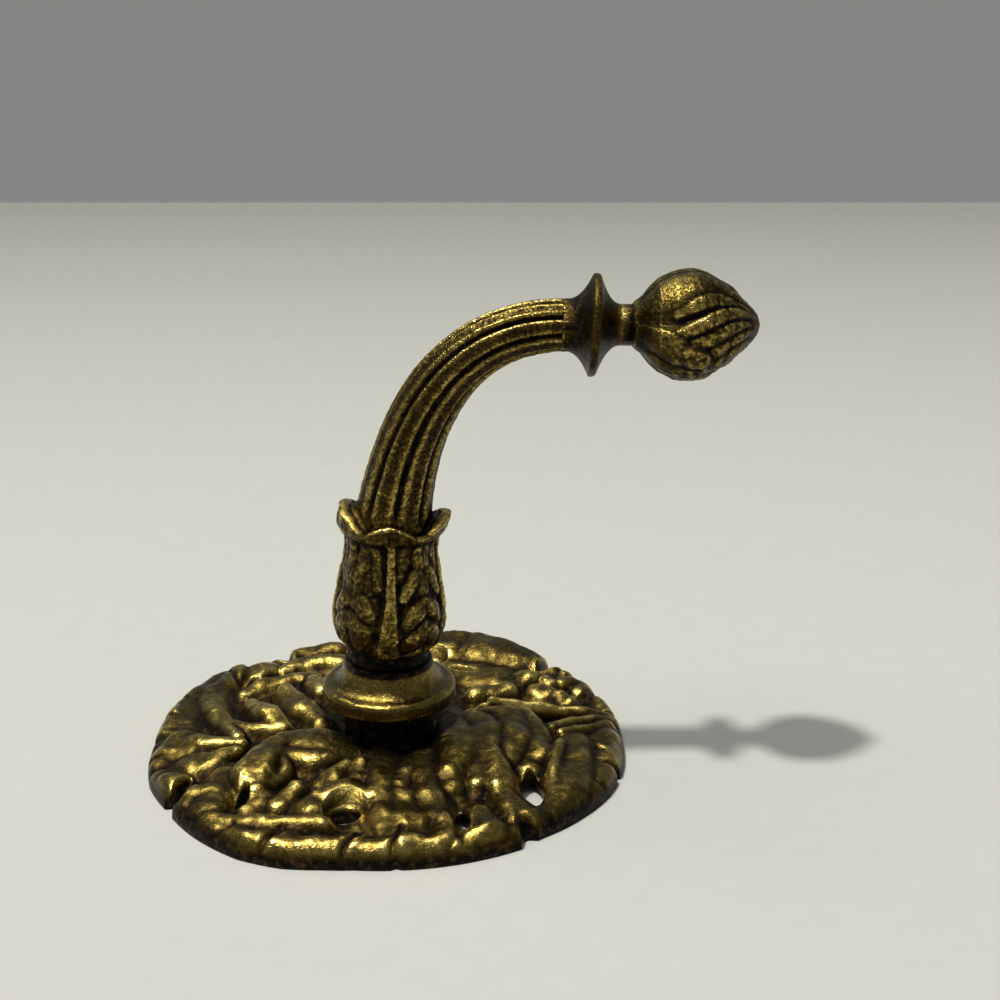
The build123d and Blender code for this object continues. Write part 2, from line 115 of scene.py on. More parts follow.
# Leaf lobes of the rosette: a crest line of (x, y, z) points, and the half widths at those points
ROSETTE_LOBES = (
    # smooth leaf at the back left and its fan of ribs
    (((-25.8, 26.2, 3.0), (-30.5, 13.3, 3.6), (-32.2, 2.7, 3.4)), (1.5, 4.2, 3.2)),
    (((-24.9, 21.2, 3.9), (-27.8, 9.5, 4.3), (-22.0, -3.8, 4.8)), (1.1, 1.7, 0.9)),
    (((-21.2, -6.3, 5.3), (-25.8, -5.9, 5.0), (-29.8, -3.2, 4.0)), (0.8, 1.3, 2.2)),
    (((-21.5, -8.6, 5.1), (-24.2, -10.7, 4.9), (-26.8, -10.9, 4.2)), (0.8, 1.6, 2.2)),
    (((-28.5, -6.0, 3.9), (-32.0, -6.1, 3.3), (-33.2, -8.3, 2.9)), (1.3, 1.9, 1.5)),
    (((-29.8, -15.1, 3.7), (-29.8, -15.6, 3.7)), (2.1, 2.1)),
    (((-32.0, -12.6, 2.8), (-31.0, -16.9, 2.7), (-28.8, -20.8, 2.5)), (1.6, 1.4, 1.5)),
    (((-26.9, -18.3, 3.4), (-26.6, -20.7, 3.1)), (1.1, 1.3)),
    (((-26.2, -18.6, 3.8), (-23.0, -19.4, 4.1), (-23.8, -22.2, 3.5)), (1.2, 1.5, 2.0)),
    (((-21.5, -13.1, 4.6), (-23.0, -16.4, 4.2), (-21.5, -18.7, 3.6)), (1.3, 1.6, 1.2)),
    # long leaf along the front left
    (((-23.5, -25.5, 3.2), (-15.5, -27.6, 4.0), (-8.0, -27.9, 4.3)), (0.9, 1.2, 1.2)),
    (((-23.0, -26.8, 2.9), (-18.0, -29.6, 3.2), (-13.0, -30.3, 3.4)), (2.0, 2.6, 2.4)),
    (((-18.5, -30.8, 3.3), (-15.8, -31.9, 3.7), (-13.0, -32.8, 3.4)), (1.2, 1.9, 1.6)),
    (((-11.5, -32.8, 3.3), (-8.0, -33.9, 3.7), (-3.2, -33.0, 3.5)), (1.5, 2.2, 1.8)),
    # front rim, segment by segment
    (((-2.4, -33.5, 3.4), (0.5, -34.0, 3.7), (4.8, -32.3, 3.8)), (1.6, 2.0, 1.2)),
    (((5.8, -32.5, 3.5), (8.2, -31.9, 3.6), (9.8, -32.9, 3.2)), (1.3, 1.8, 1.2)),
    (((7.2, -34.3, 2.9), (11.2, -34.0, 3.0), (18.5, -30.9, 2.8)), (1.2, 1.3, 1.3)),
    # leaf that curls over towards the hub on the left
    (((-14.8, -7.4, 6.0), (-10.2, -8.1, 6.5), (-5.5, -8.8, 5.6), (-3.6, -8.1, 4.8)), (1.6, 3.1, 2.0, 0.9)),
    (((-14.0, -11.2, 5.9), (-10.0, -12.3, 6.1), (-6.0, -9.9, 5.2)), (1.1, 1.6, 1.0)),
    (((-16.0, -9.4, 6.5), (-18.0, -15.8, 6.2), (-17.5, -19.3, 4.7)), (1.8, 2.5, 1.5)),
    (((-15.5, -10.8, 6.2), (-13.8, -14.5, 5.4), (-15.8, -18.1, 4.6)), (0.8, 0.9, 0.8)),
    (((-5.2, -14.0, 5.7), (-7.2, -16.5, 5.3), (-8.5, -17.7, 4.4)), (0.9, 1.5, 1.1)),
    (((-3.4, -13.8, 5.7), (-3.6, -16.6, 5.1)), (1.0, 1.4)),
    (((-0.6, -10.7, 5.4), (-0.2, -16.1, 5.6), (-0.8, -21.4, 5.0)), (1.6, 1.8, 1.5)),
    (((-12.0, -19.5, 4.8), (-14.0, -22.7, 4.1)), (1.1, 1.4)),
    (((-7.2, -20.2, 4.9), (-9.5, -23.8, 4.3)), (1.2, 1.7)),
    (((-16.0, -20.5, 4.0), (-18.0, -23.0, 3.5)), (1.2, 1.3)),
    (((-8.4, -21.6, 4.9), (-4.7, -20.7, 5.4), (-1.4, -21.8, 4.9)), (1.2, 2.0, 1.2)),
    # ribs that run to the front
    (((5.1, -11.1, 5.6), (6.1, -18.9, 5.0), (7.3, -25.8, 3.9)), (1.5, 1.6, 1.6)),
    (((3.4, -13.4, 5.5), (2.5, -18.6, 5.1), (2.0, -20.3, 4.4)), (1.1, 1.3, 0.9)),
    (((3.0, -21.6, 4.6), (3.5, -26.7, 4.1), (2.5, -30.2, 3.6)), (1.5, 1.8, 1.6)),
    (((0.8, -22.1, 4.6), (0.5, -25.7, 4.1), (1.5, -29.5, 3.5)), (1.2, 1.5, 1.4)),
    (((5.5, -27.3, 3.9), (5.0, -30.7, 3.6)), (1.2, 1.4)),
    # right acanthus, crest by crest
    (((9.2, 0.4, 5.6), (11.0, -8.8, 6.7), (9.5, -14.6, 6.1), (9.5, -18.1, 4.6)), (1.6, 3.0, 1.9, 1.5)),
    (((12.0, 1.5, 6.0), (14.3, -4.8, 6.7), (13.8, -10.8, 6.2), (13.2, -17.3, 4.8)), (1.2, 2.1, 1.9, 1.4)),
    (((15.1, -11.1, 6.1), (15.8, -14.8, 5.7), (16.1, -17.8, 4.8)), (1.2, 1.6, 1.4)),
    (((13.8, 4.1, 6.0), (17.4, 0.3, 6.4), (18.6, -6.3, 6.2), (17.6, -11.2, 5.4)), (1.2, 1.9, 1.9, 1.3)),
    (((19.8, 2.3, 5.9), (21.5, -3.3, 5.7), (22.0, -9.6, 5.2)), (1.1, 1.6, 1.5)),
    (((19.4, -8.6, 5.1), (20.4, -11.9, 4.2)), (1.2, 1.6)),
    (((16.2, -19.1, 4.2), (19.0, -25.1, 4.0)), (1.1, 2.0)),
    (((13.2, -24.8, 3.9), (14.0, -29.0, 4.0)), (1.4, 2.3)),
    (((8.5, -26.8, 3.9), (8.8, -31.7, 3.6)), (1.0, 1.5)),
    (((21.0, -24.1, 3.3), (18.5, -28.5, 3.0), (16.2, -31.4, 2.8)), (1.2, 1.3, 1.2)),
    # smooth leaf at the right
    (((24.8, -7.0, 5.3), (23.8, -13.8, 4.6), (23.6, -20.3, 3.6), (21.8, -25.9, 3.0)), (0.9, 0.9, 0.9, 1.0)),
    (((27.0, -4.6, 4.6), (26.2, -14.4, 4.2), (24.5, -23.6, 3.3)), (1.9, 2.4, 1.8)),
    (((31.2, -1.2, 3.6), (30.8, -13.4, 3.2), (25.5, -24.9, 2.7)), (2.2, 2.6, 2.2)),
    (((30.5, -5.7, 4.0), (31.8, -6.9, 3.7), (32.8, -8.9, 3.2)), (0.5, 0.6, 0.5)),
    (((25.2, -3.2, 5.0), (28.5, -0.7, 4.4), (32.2, 2.5, 3.5)), (0.8, 0.9, 1.0)),
    (((23.8, -1.3, 5.2), (28.5, 2.5, 4.4), (33.2, 4.9, 3.2)), (0.9, 0.9, 0.9)),
    # thin edges beside the deep crease where the arm's shadow falls
    (((15.0, 6.0, 5.8), (21.0, 5.7, 5.2), (26.5, 5.4, 4.6), (33.5, 5.4, 3.3)), (0.6, 0.7, 0.7, 0.8)),
    # rolled leaf at the back right with its row of nubs
    (((7.5, 30.0, 5.6), (14.0, 28.2, 6.0), (19.5, 25.6, 5.4), (24.0, 22.5, 4.2)), (3.0, 4.2, 3.6, 2.0)),
    (((7.2, 24.2, 3.9), (13.5, 19.3, 4.4), (18.2, 16.0, 4.3)), (2.2, 3.2, 2.0)),
    (((12.5, 10.1, 5.1), (17.2, 11.7, 5.2)), (1.4, 1.4)),
    (((20.2, 17.5, 4.9), (20.5, 17.0, 4.9)), (1.6, 1.6)),
    (((22.2, 12.3, 4.9), (23.2, 11.9, 4.7)), (1.5, 1.5)),
    (((25.8, 16.0, 4.3), (27.0, 16.6, 4.1)), (1.2, 1.3)),
    (((26.5, 19.5, 3.9), (28.2, 20.6, 3.7)), (1.1, 1.6)),
    (((28.5, 13.7, 3.9), (29.2, 16.6, 3.7)), (1.1, 1.4)),
    (((25.5, 10.8, 4.4), (26.5, 9.6, 4.2)), (1.1, 1.2)),
    (((31.8, 11.6, 3.2), (32.8, 8.0, 3.0)), (1.3, 1.3)),
    (((23.2, 16.8, 4.4), (24.0, 15.3, 4.4)), (1.0, 1.1)),
    # knob, roll and lobes at the back left
    (((-22.0, 18.9, 3.8), (-21.2, 21.6, 4.2)), (1.3, 2.0)),
    (((-18.2, 27.6, 3.2), (-16.0, 28.1, 3.6), (-10.5, 29.9, 4.2)), (1.5, 1.4, 1.6)),
    (((-17.5, 21.7, 3.9), (-14.5, 24.1, 4.2), (-9.5, 24.3, 4.5)), (1.2, 1.6, 1.5)),
    (((-23.0, 12.7, 3.9), (-19.5, 15.5, 4.4), (-13.0, 17.2, 4.8)), (1.0, 1.4, 1.2)),
    (((-21.0, 5.9, 5.6), (-18.1, 1.7, 6.2), (-15.8, -1.5, 5.4)), (1.0, 1.6, 1.2)),
    (((-26.2, 8.0, 4.0), (-24.5, 0.9, 4.6), (-16.5, -2.0, 5.0)), (0.9, 1.1, 1.0)),
    (((-16.5, 11.3, 5.4), (-13.5, 4.9, 5.6)), (1.1, 1.7)),
    (((-12.5, 15.2, 5.2), (-11.0, 10.9, 5.6)), (1.3, 1.5)),
    (((-12.2, 3.7, 5.2), (-10.0, 0.7, 5.2)), (1.4, 1.4)),
    # lobes behind the calyx
    (((-5.5, 11.5, 5.6), (-6.5, 17.5, 5.2), (-6.0, 23.0, 4.2)), (1.4, 2.0, 1.6)),
    (((0.0, 11.5, 5.8), (0.0, 18.0, 5.4), (-0.5, 24.5, 4.2)), (1.6, 2.2, 1.6)),
    (((5.5, 11.5, 5.6), (6.0, 17.0, 5.0), (4.5, 22.5, 4.2)), (1.4, 1.9, 1.4)),
    (((-7.5, 30.5, 3.6), (-1.5, 32.0, 3.9), (4.5, 31.5, 3.8)), (1.8, 2.2, 1.8)),
)

# Creases across the lobes: start x and y, end x and y, depth and half width
ROSETTE_CREASES = (
    (-2.8, -29.3, -4.9, -35.6, 0.8, 0.5), (-12.8, -29.3, -16.2, -34.6, 0.6, 0.6), (3.2, -29.3, 1.6, -35.6, 0.7, 0.4),
    (10.8, -30.6, 8.8, -35.0, 0.3, 0.5), (-20.0, -28.0, -23.6, -30.0, 0.4, 0.6), (27.5, -20.5, 30.5, -22.8, 0.4, 0.4),
    (29.5, -15.0, 33.0, -16.4, 0.3, 0.4), (30.6, -9.8, 34.6, -10.4, 0.4, 0.4), (-34.2, -1.4, -30.0, -0.8, 0.3, 0.4),
    # the long deep crease from (13.2, 4.2) to (26.6, 3.8) is cut where the arm's shadow falls, and darkens there as
    # painted shadow
    (13.2, 4.2, 26.6, 3.8, 1.7, 1.0), (-27.2, 22.8, -24.2, 16.2, 0.5, 0.5), (12.2, 31.6, 9.2, 25.6, 0.25, 0.7),
    (-4.6, 33.6, -2.8, 29.6, 0.4, 0.6),
)

# Openings through the rosette: centre x, centre y, length, width and turn in degrees
PIERCINGS = (
    (20.7, -17.4, 8.0, 3.3, 98.0), (11.2, -26.7, 6.4, 2.0, 100.0), (-19.2, -21.3, 4.4, 1.9, 80.0),
    (-28.3, -16.9, 4.6, 2.0, 70.0), (-22.6, 16.4, 3.8, 2.4, 60.0), (10.5, 20.0, 4.6, 1.4, 150.0),
    (-9.5, 20.6, 4.2, 1.3, 20.0),
)

# Relief of one calyx leaf, seen from outside: crest line of (across, height, relief) points and half widths
CALYX_LOBES = (
    # midrib
    (((0.2, 15.0, 0.85), (0.3, 21.0, 1.0), (0.5, 26.0, 0.95), (0.4, 34.0, 0.75)), (1.8, 1.3, 0.8, 0.65)),
    # pads on the left of the midrib
    (((-5.9, 23.0, 0.85), (-4.4, 21.6, 1.0), (-4.4, 19.6, 0.7)), (1.5, 1.9, 1.0)),
    (((-2.9, 24.3, 0.85), (-4.0, 25.6, 0.95), (-5.9, 26.3, 0.8)), (1.1, 1.4, 1.2)),
    (((-1.8, 28.6, 0.5), (-2.0, 30.6, 0.6), (-2.5, 33.4, 0.5)), (1.0, 0.9, 0.9)),
    (((-5.4, 27.5, 0.75), (-5.2, 30.0, 0.8), (-4.4, 33.2, 0.6)), (1.4, 1.5, 1.1)),
    (((-3.5, 27.8, 0.5), (-3.6, 30.0, 0.55), (-3.6, 33.4, 0.45)), (1.1, 1.1, 0.9)),
    # veined lobes on the right of the midrib
    (((2.5, 27.0, 0.7), (4.0, 29.3, 0.9), (5.6, 31.0, 0.7)), (0.8, 1.1, 0.9)),
    (((2.9, 23.1, 0.65), (4.4, 24.6, 0.95), (6.0, 25.8, 0.8)), (0.9, 1.3, 1.0)),
    (((2.9, 19.8, 0.65), (4.6, 20.8, 1.0), (6.2, 22.3, 0.8)), (1.0, 1.4, 1.1)),
    (((3.4, 17.2, 0.5), (5.0, 18.4, 0.7)), (0.9, 1.0)),
    (((5.9, 28.0, 0.7), (5.6, 31.0, 0.75), (5.0, 33.4, 0.6)), (1.0, 1.1, 0.9)),
    (((2.2, 30.4, 0.45), (2.8, 33.8, 0.5)), (1.1, 1.0)),
)

# Flank of the calyx: height and radius
CALYX_SIDE = (
    (15.2, 6.8), (17.2, 6.85), (17.8, 7.4), (18.6, 7.7), (20.3, 8.05), (22.0, 8.22), (24.0, 8.1), (27.9, 7.5),
    (31.0, 7.0), (33.0, 6.9), (34.4, 7.05), (35.0, 7.55), (35.7, 7.95), (36.9, 8.2), (40.0, 8.25),
)

# Petals of the crown: angle in degrees, height of the tip, half width in degrees and flare at the tip
CROWN_PETALS = ((0, 37.8, 40, 0.45), (90, 37.6, 46, 0.15), (180, 38.5, 60, -0.45), (270, 37.2, 32, 0.15))

# Fluted arm: share of its length and radius
ARM_SIDE = ((0, 5.6), (0.07, 5.3), (0.16, 4.95), (0.27, 4.65), (0.42, 4.35), (0.6, 4.05), (0.8, 3.8), (1, 3.62))

# Bud: sideways reach and radius over its leaves
BUD_SIDE = (
    (34.3, 2.85), (34.7, 3.55), (35.7, 4.5), (36.8, 5.8), (37.9, 6.75), (39.0, 7.2), (40.1, 7.6), (42.2, 7.9),
    (43.4, 7.8), (44.5, 7.5), (45.6, 6.95), (46.7, 6.4), (47.8, 5.75), (48.9, 4.95), (50.0, 3.8), (50.9, 2.7),
    (51.6, 1.6), (52.0, 0.0),
)

# Leaves of the bud, unrolled from below to above the middle of one side: (across, reach, relief) and half widths
BUD_LOBES = (
    (((3.0, 35.6, 0.8), (4.6, 40.2, 1.25), (6.0, 45.0, 1.0), (5.4, 49.5, 0.6)), (1.6, 2.9, 2.1, 1.0)),
    (((0.9, 40.0, 0.6), (2.0, 42.6, 1.0), (3.3, 46.0, 0.9), (3.4, 50.0, 0.6)), (0.6, 1.0, 1.0, 0.6)),
    (((-1.8, 40.5, 0.7), (-0.2, 44.4, 1.05), (1.7, 48.2, 0.85), (2.2, 51.0, 0.6)), (0.7, 1.0, 0.9, 0.6)),
    (((-2.2, 35.6, 0.8), (-3.9, 39.5, 1.15), (-5.6, 43.6, 0.95)), (1.4, 2.1, 1.4)),
    (((-3.0, 42.2, 0.8), (-2.0, 45.8, 1.05), (-0.4, 49.5, 0.7)), (0.8, 1.1, 0.8)),
    (((-4.4, 45.8, 0.9), (-2.8, 49.6, 0.7)), (1.2, 0.9)),
    (((-7.0, 45.0, 1.05), (-5.4, 48.8, 0.8)), (1.5, 1.0)),
    (((-7.2, 37.5, 0.9), (-8.8, 42.0, 1.05), (-8.6, 46.5, 0.8)), (1.4, 1.9, 1.2)),
    (((8.0, 37.0, 0.8), (9.0, 41.5, 1.05), (8.0, 47.5, 0.8)), (1.2, 1.7, 1.2)),
)


def measure(name, description, default):
    """Setting that holds a length or an angle."""
    return FloatProperty(name=name, description=description, default=default)


def paint(name, description, default):
    """Setting that holds a colour."""
    return FloatVectorProperty(name=name, description=description, subtype="COLOR", default=default)


class HookShape(bpy.types.PropertyGroup):
    """Sizes of the hook's dressed pieces, in millimetres unless the name says otherwise."""

    relief_steps: IntProperty(name="Relief steps", description="Squares across the rosette's relief", default=252)
    rim_round: measure("Rim round", "Width of the rounded rim of the rosette", 2.3)
    rim_height: measure("Rim height", "Height of the ground at the rim", 1.7)
    ground_rise: measure("Ground rise", "Rise of the ground towards the hub", 2.6)
    hub_width: measure("Hub width", "Diameter of the hub under the collar", 12.6)
    recess_height: measure("Recess height", "Height of the ring round the hub", 3.0)
    shell_wall: measure("Shell wall", "Thickness of the cast shell", 1.5)
    screw_circle: measure("Screw circle", "Diameter of the circle of wall screws", 50.0)
    screw_angle: measure("Screw angle", "Turn of the first wall screw in degrees", 259.0)
    screw_hole: measure("Screw hole", "Diameter of a wall screw's hole", 4.3)
    screw_seat: measure("Screw seat", "Diameter of a wall screw's seat", 6.3)
    seat_height: measure("Seat height", "Height of a wall screw's seat", 2.6)
    flute_depth: measure("Flute depth", "Depth of the grooves along the arm", 0.62)
    flute_count: IntProperty(name="Flutes", description="Grooves round the arm", default=8)
    calyx_lean: measure("Calyx lean", "Lean of the calyx in degrees", 2.4)
    arm_foot_x: measure("Arm foot", "Sideways place of the arm's foot", 1.0)
    arm_foot_z: measure("Arm foot height", "Height of the arm's foot", 35.7)
    arm_end_x: measure("Arm end", "Reach of the fluted arm", 25.2)
    arm_height: measure("Arm height", "Height of the arm's level end", 64.8)
    foot_lean: measure("Foot lean", "Lean of the arm at its foot in degrees", 6.7)
    foot_pull: measure("Foot pull", "How far the arm runs on from its foot", 17.5)
    end_pull: measure("End pull", "How far the arm runs on from its end", 14.5)
    disc_x: measure("Disc place", "Reach of the disc", 29.1)
    disc_radius: measure("Disc radius", "Radius of the disc", 7.08)
    thread_pitch: measure("Thread pitch", "Pitch of the stud's thread", 0.7)


class HookFinish(bpy.types.PropertyGroup):
    """Colours of the aged gilt brass and of the stage."""

    # This colour also paints the black shadows round the collar.
    soot_and_shadow: paint("Soot", "Blackest film, deep in the grooves", (0.003, 0.002, 0.001))
    patina: paint("Patina", "Dark film in the hollows", (0.016, 0.010, 0.003))
    brown: paint("Brown", "Brown between the film and the metal", (0.050, 0.031, 0.008))
    brass: paint("Brass", "Dulled metal", (0.105, 0.078, 0.020))
    gold: paint("Gold", "Rubbed metal", (0.31, 0.218, 0.048))
    pale: paint("Pale", "Brightest rubbed edges", (0.70, 0.53, 0.155))
    rust: paint("Rust", "Warm bloom on the dulled metal", (0.135, 0.072, 0.018))
    table: paint("Table", "Pale table top", (0.63, 0.635, 0.59))
    backdrop: paint("Backdrop", "Grey behind the table", (0.227, 0.238, 0.223))


def smooth_line(points, count=36):
    """Points along a smooth line through the given ones, evenly spread over them."""
    points = np.array(points, float)
    if len(points) == 2:
        return points
    ends = np.vstack((2 * points[0] - points[1], points, 2 * points[-1] - points[-2]))
    line = []
    for step in np.linspace(0, len(points) - 1, count):
        first = min(int(step), len(points) - 2)
        t = step - first
        a, b, c, d = ends[first:first + 4]
        bend, twist = 2 * a - 5 * b + 4 * c - d, 3 * b - a - 3 * c + d
        line.append(0.5 * (2 * b + (c - a) * t + bend * t ** 2 + twist * t ** 3))
    return np.array(line)


def beside_line(offset_x, offset_y, run_x, run_y):
    """Share of a straight line at which each place is nearest to it, and the distance there."""
    share = np.clip((offset_x * run_x + offset_y * run_y) / max(run_x * run_x + run_y * run_y, TINY), 0, 1)
    return share, np.hypot(offset_x - share * run_x, offset_y - share * run_y)


def raise_lobes(across, along, ground, lobes, swollen, roundness, sunk=0.0, blend=0.22):
    """Heights over a flat field: each lobe swells from the ground to its crest line, and furrows part them.
    swollen widens the lobes, roundness squares or points their sections, sunk lowers their crests, and blend is how
    far apart in height two of them still melt."""
    height = ground.copy()
    for crest_points, half_widths in lobes:
        crest = smooth_line(crest_points) - np.array((0, 0, sunk))
        width = np.interp(np.linspace(0, 1, len(crest)), np.linspace(0, 1, len(half_widths)), half_widths) * swollen
        reach = width.max()
        near = np.flatnonzero(
            (across > crest[:, 0].min() - reach) & (across < crest[:, 0].max() + reach)
            & (along > crest[:, 1].min() - reach) & (along < crest[:, 1].max() + reach))
        share_best = np.full(len(near), np.inf)
        crest_best = np.zeros(len(near))
        for start, end, width_start, width_end in zip(crest, crest[1:], width, width[1:]):
            t, distance = beside_line(across[near] - start[0], along[near] - start[1], *(end[:2] - start[:2]))
            share = distance / (width_start + (width_end - width_start) * t)
            closer = share < share_best
            share_best[closer] = share[closer]
            crest_best[closer] = (start[2] + (end[2] - start[2]) * t)[closer]
        inside = share_best < 1
        place = near[inside]
        swell = (1 - share_best[inside] ** 2) ** roundness
        lobe = ground[place] + (crest_best[inside] - ground[place]) * swell
        gap = np.clip(blend - np.abs(height[place] - lobe), 0, None)
        height[place] = np.maximum(height[place], lobe) + gap ** 2 / (4 * blend) * swell
    return height


def unevenness(places, size, seed):
    """Smooth random value between about -1 and 1 at each place, with lumps of the given size."""
    shift = Vector((seed * 7.31, seed * 3.17, seed * 5.73))
    return np.array([noise.noise(Vector(place) / size + shift) for place in places])


def lay_grid(columns, rows, surface):
    """Grid of squares laid on a surface of (across, along) shares, with its seam and poles merged."""
    sheet = bmesh.new()
    bmesh.ops.create_grid(sheet, x_segments=columns, y_segments=rows, size=0.5)
    flat = np.array([vert.co[:] for vert in sheet.verts])
    for vert, place in zip(sheet.verts, surface(flat[:, 0] + 0.5, flat[:, 1] + 0.5) * MM):
        vert.co = place
    bmesh.ops.remove_doubles(sheet, verts=sheet.verts, dist=WELD)
    bmesh.ops.recalc_face_normals(sheet, faces=sheet.faces)
    return sheet


def spin_profile(profile, steps, axis="Z"):
    """Closed turning of (radius, height) points about an axis, in millimetres."""
    turning = bmesh.new()
    verts = []
    for radius, height in profile:
        place = (radius, 0, height) if axis == "Z" else (height, radius, 0)
        verts.append(turning.verts.new(Vector(place) * MM))
    edges = [turning.edges.new(pair) for pair in zip(verts, verts[1:])]
    if (Vector(profile[0]) - Vector(profile[-1])).length > TINY and profile[0][0] > TINY:
        edges.append(turning.edges.new((verts[-1], verts[0])))
    spin_axis = (0, 0, 1) if axis == "Z" else (1, 0, 0)
    bmesh.ops.spin(turning, geom=verts + edges, cent=(0, 0, 0), axis=spin_axis, angle=math.tau, steps=steps,
                   use_merge=True)
    bmesh.ops.remove_doubles(turning, verts=turning.verts, dist=WELD)
    bmesh.ops.recalc_face_normals(turning, faces=turning.faces)
    return turning


def make_piece(name, shape):
    """Object of a finished bmesh, linked to the scene with smooth shading."""
    mesh = bpy.data.meshes.new(name)
    shape.to_mesh(mesh)
    shape.free()
    piece = bpy.data.objects.new(name, mesh)
    bpy.context.scene.collection.objects.link(piece)
    mesh.shade_smooth()
    return piece


def combine(piece, shape, operation):
    """Joins a bmesh to a piece, cuts it away or keeps what they share, and leaves one closed mesh."""
    tool = make_piece("shaping_tool", shape)
    step = piece.modifiers.new("shaping", "BOOLEAN")
    step.operation = operation
    step.solver = "MANIFOLD"
    step.object = tool
    bpy.context.view_layer.update()
    shaped = bpy.data.meshes.new_from_object(piece.evaluated_get(bpy.context.evaluated_depsgraph_get()))
    piece.modifiers.remove(step)
    plain = piece.data
    piece.data = shaped
    bpy.data.meshes.remove(plain)
    bpy.data.objects.remove(tool)
    shell = bmesh.new()
    shell.from_mesh(shaped)
    if shell.calc_volume(signed=True) < 0:
        bmesh.ops.reverse_faces(shell, faces=shell.faces)
        shell.to_mesh(shaped)
    shell.free()
    shaped.materials.clear()
    shaped.shade_smooth()
    if not shaped.polygons:
        raise RuntimeError(f"shaping left nothing of {piece.name}")


def merge_shapes(shapes):
    """One bmesh that holds several separate ones."""
    whole = bmesh.new()
    for shape in shapes:
        holder = bpy.data.meshes.new("holder")
        shape.to_mesh(holder)
        shape.free()
        whole.from_mesh(holder)
        bpy.data.meshes.remove(holder)
    return whole


def mark_hollows_and_shade(piece, reaches, gains, sides=0.0, dark=None):
    """Writes the hollow_and_shade attribute at each vertex: curvature from CREST over LEVEL to GROOVE, for the patina
    in grooves and the rubbed crests.
    Faces that don't look up get painted shade by the sides share, and the dark function adds painted shade at given
    places."""
    mesh = piece.data
    count = len(mesh.vertices)
    places = np.zeros(count * 3)
    mesh.vertices.foreach_get("co", places)
    places = places.reshape(-1, 3) / MM
    normals = np.zeros(count * 3)
    mesh.vertices.foreach_get("normal", normals)
    normals = normals.reshape(-1, 3)
    edges = np.zeros(len(mesh.edges) * 2, int)
    mesh.edges.foreach_get("vertices", edges)
    first, second = edges.reshape(-1, 2).T
    neighbours = np.maximum(np.bincount(first, minlength=count) + np.bincount(second, minlength=count), 1)
    average = places.copy()
    hollow_and_shade = np.zeros(count)
    done = 0
    for reach, gain in zip(reaches, gains):
        while done < reach:
            total = np.stack([np.bincount(first, average[second, k], count)
                              + np.bincount(second, average[first, k], count) for k in range(3)], axis=1)
            average = 0.4 * average + 0.6 * total / neighbours[:, None]
            done += 1
        hollow_and_shade += gain * np.einsum("ij,ij->i", average - places, normals)
    # patina from curvature, plus painted shade on faces that don't look up
    hollow_and_shade = np.clip(LEVEL + hollow_and_shade, CREST, GROOVE) + sides * np.clip(0.45 - normals[:, 2], 0, 1)
    # painted shade that the dark function adds
    if dark:
        hollow_and_shade += dark(places)
    layer = mesh.attributes.new("hollow_and_shade", "FLOAT", "POINT")
    layer.data.foreach_set("value", np.clip(hollow_and_shade, CREST, DARKEST).astype(np.float32))


def fit(piece, node, metal):
    """Lets a piece stand for its node of the model and move with it, in the given metal."""
    piece.data.materials.append(metal)
    piece.data.polygons.foreach_set("material_index", [0] * len(piece.data.polygons))
    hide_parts(node)
    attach(piece, "root")


def angle_between(turn, other):
    """Degrees between two angles, the short way round."""
    return np.abs((turn - other + 180) % 360 - 180)


def around(radius, turn):
    """The two sideways measures of a place at a radius and an angle in radians."""
    return radius * np.cos(turn), radius * np.sin(turn)


def rim_radius(turn):
    """Radius of the rosette's outline at an angle in degrees, with its notches."""
    angles, radii = np.array(RIM_LINE).T
    radius = np.interp(turn, angles, radii)
    for angle, depth, half_width in RIM_NOTCHES:
        away = angle_between(turn, angle) * math.pi / 180 * ROSETTE_RADIUS / half_width
        radius = radius - depth * np.clip(1 - away ** 2, 0, 1) ** 1.3
    return radius


def screw_centres(shape):
    """Centres of the wall screws."""
    angles = (math.radians(shape.screw_angle + 180 * screw) for screw in range(2))
    return [(shape.screw_circle / 2 * math.cos(angle), shape.screw_circle / 2 * math.sin(angle)) for angle in angles]


def rosette_ground(shape, radius):
    """Height of the ground under the lobes, low in a ring round the hub."""
    ground = shape.rim_height + shape.ground_rise * (1 - radius / ROSETTE_RADIUS)
    ring = np.clip(1 - np.abs(radius - shape.hub_width / 2 - 1.2) / 2.4, 0, 1)
    return ground - (ground - shape.recess_height) * ring


def rosette_front(shape):
    """Relief side of the rosette, down to its outline on the wall."""
    def surface(across, along):
        u, v = 2 * across - 1, 2 * along - 1
        disc_x = u * np.sqrt(1 - v ** 2 / 2)
        disc_y = v * np.sqrt(1 - u ** 2 / 2)
        share = np.hypot(disc_x, disc_y)
        turn = np.degrees(np.arctan2(disc_y, disc_x)) % 360
        rim = rim_radius(turn)
        core = 1 - 1.5 * shape.rim_round / rim
        edge = np.clip((share - core) / (1 - core), 0, 1) * math.pi / 2
        radius = np.where(share < core, share / core * (rim - shape.rim_round),
                          rim - shape.rim_round + shape.rim_round * np.sin(edge))
        x, y = around(radius, np.radians(turn))
        ground = rosette_ground(shape, radius)
        mass = raise_lobes(x, y, ground, ROSETTE_LOBES, swollen=2.2, sunk=0.75, blend=0.8, roundness=1.0)
        height = raise_lobes(x, y, mass, ROSETTE_LOBES, swollen=1.55, blend=0.3, roundness=1.0)
        lumps = np.column_stack((x, y, height))
        height = height + 0.40 * unevenness(lumps, 3.1, 1) + 0.10 * unevenness(lumps, 1.1, 2)
        for start_x, start_y, end_x, end_y, depth, half_width in ROSETTE_CREASES:
            _, away = beside_line(x - start_x, y - start_y, end_x - start_x, end_y - start_y)
            height = height - depth * np.exp(-(away / half_width) ** 2)
        height = height * np.cos(edge) ** 0.7
        hub = np.clip((shape.hub_width / 2 + 0.12 - radius) / 0.24, 0, 1)
        height = height + (ROSETTE_HIGH[2] - height) * hub
        return np.column_stack((x, y, height))
    return lay_grid(shape.relief_steps, shape.relief_steps, surface)


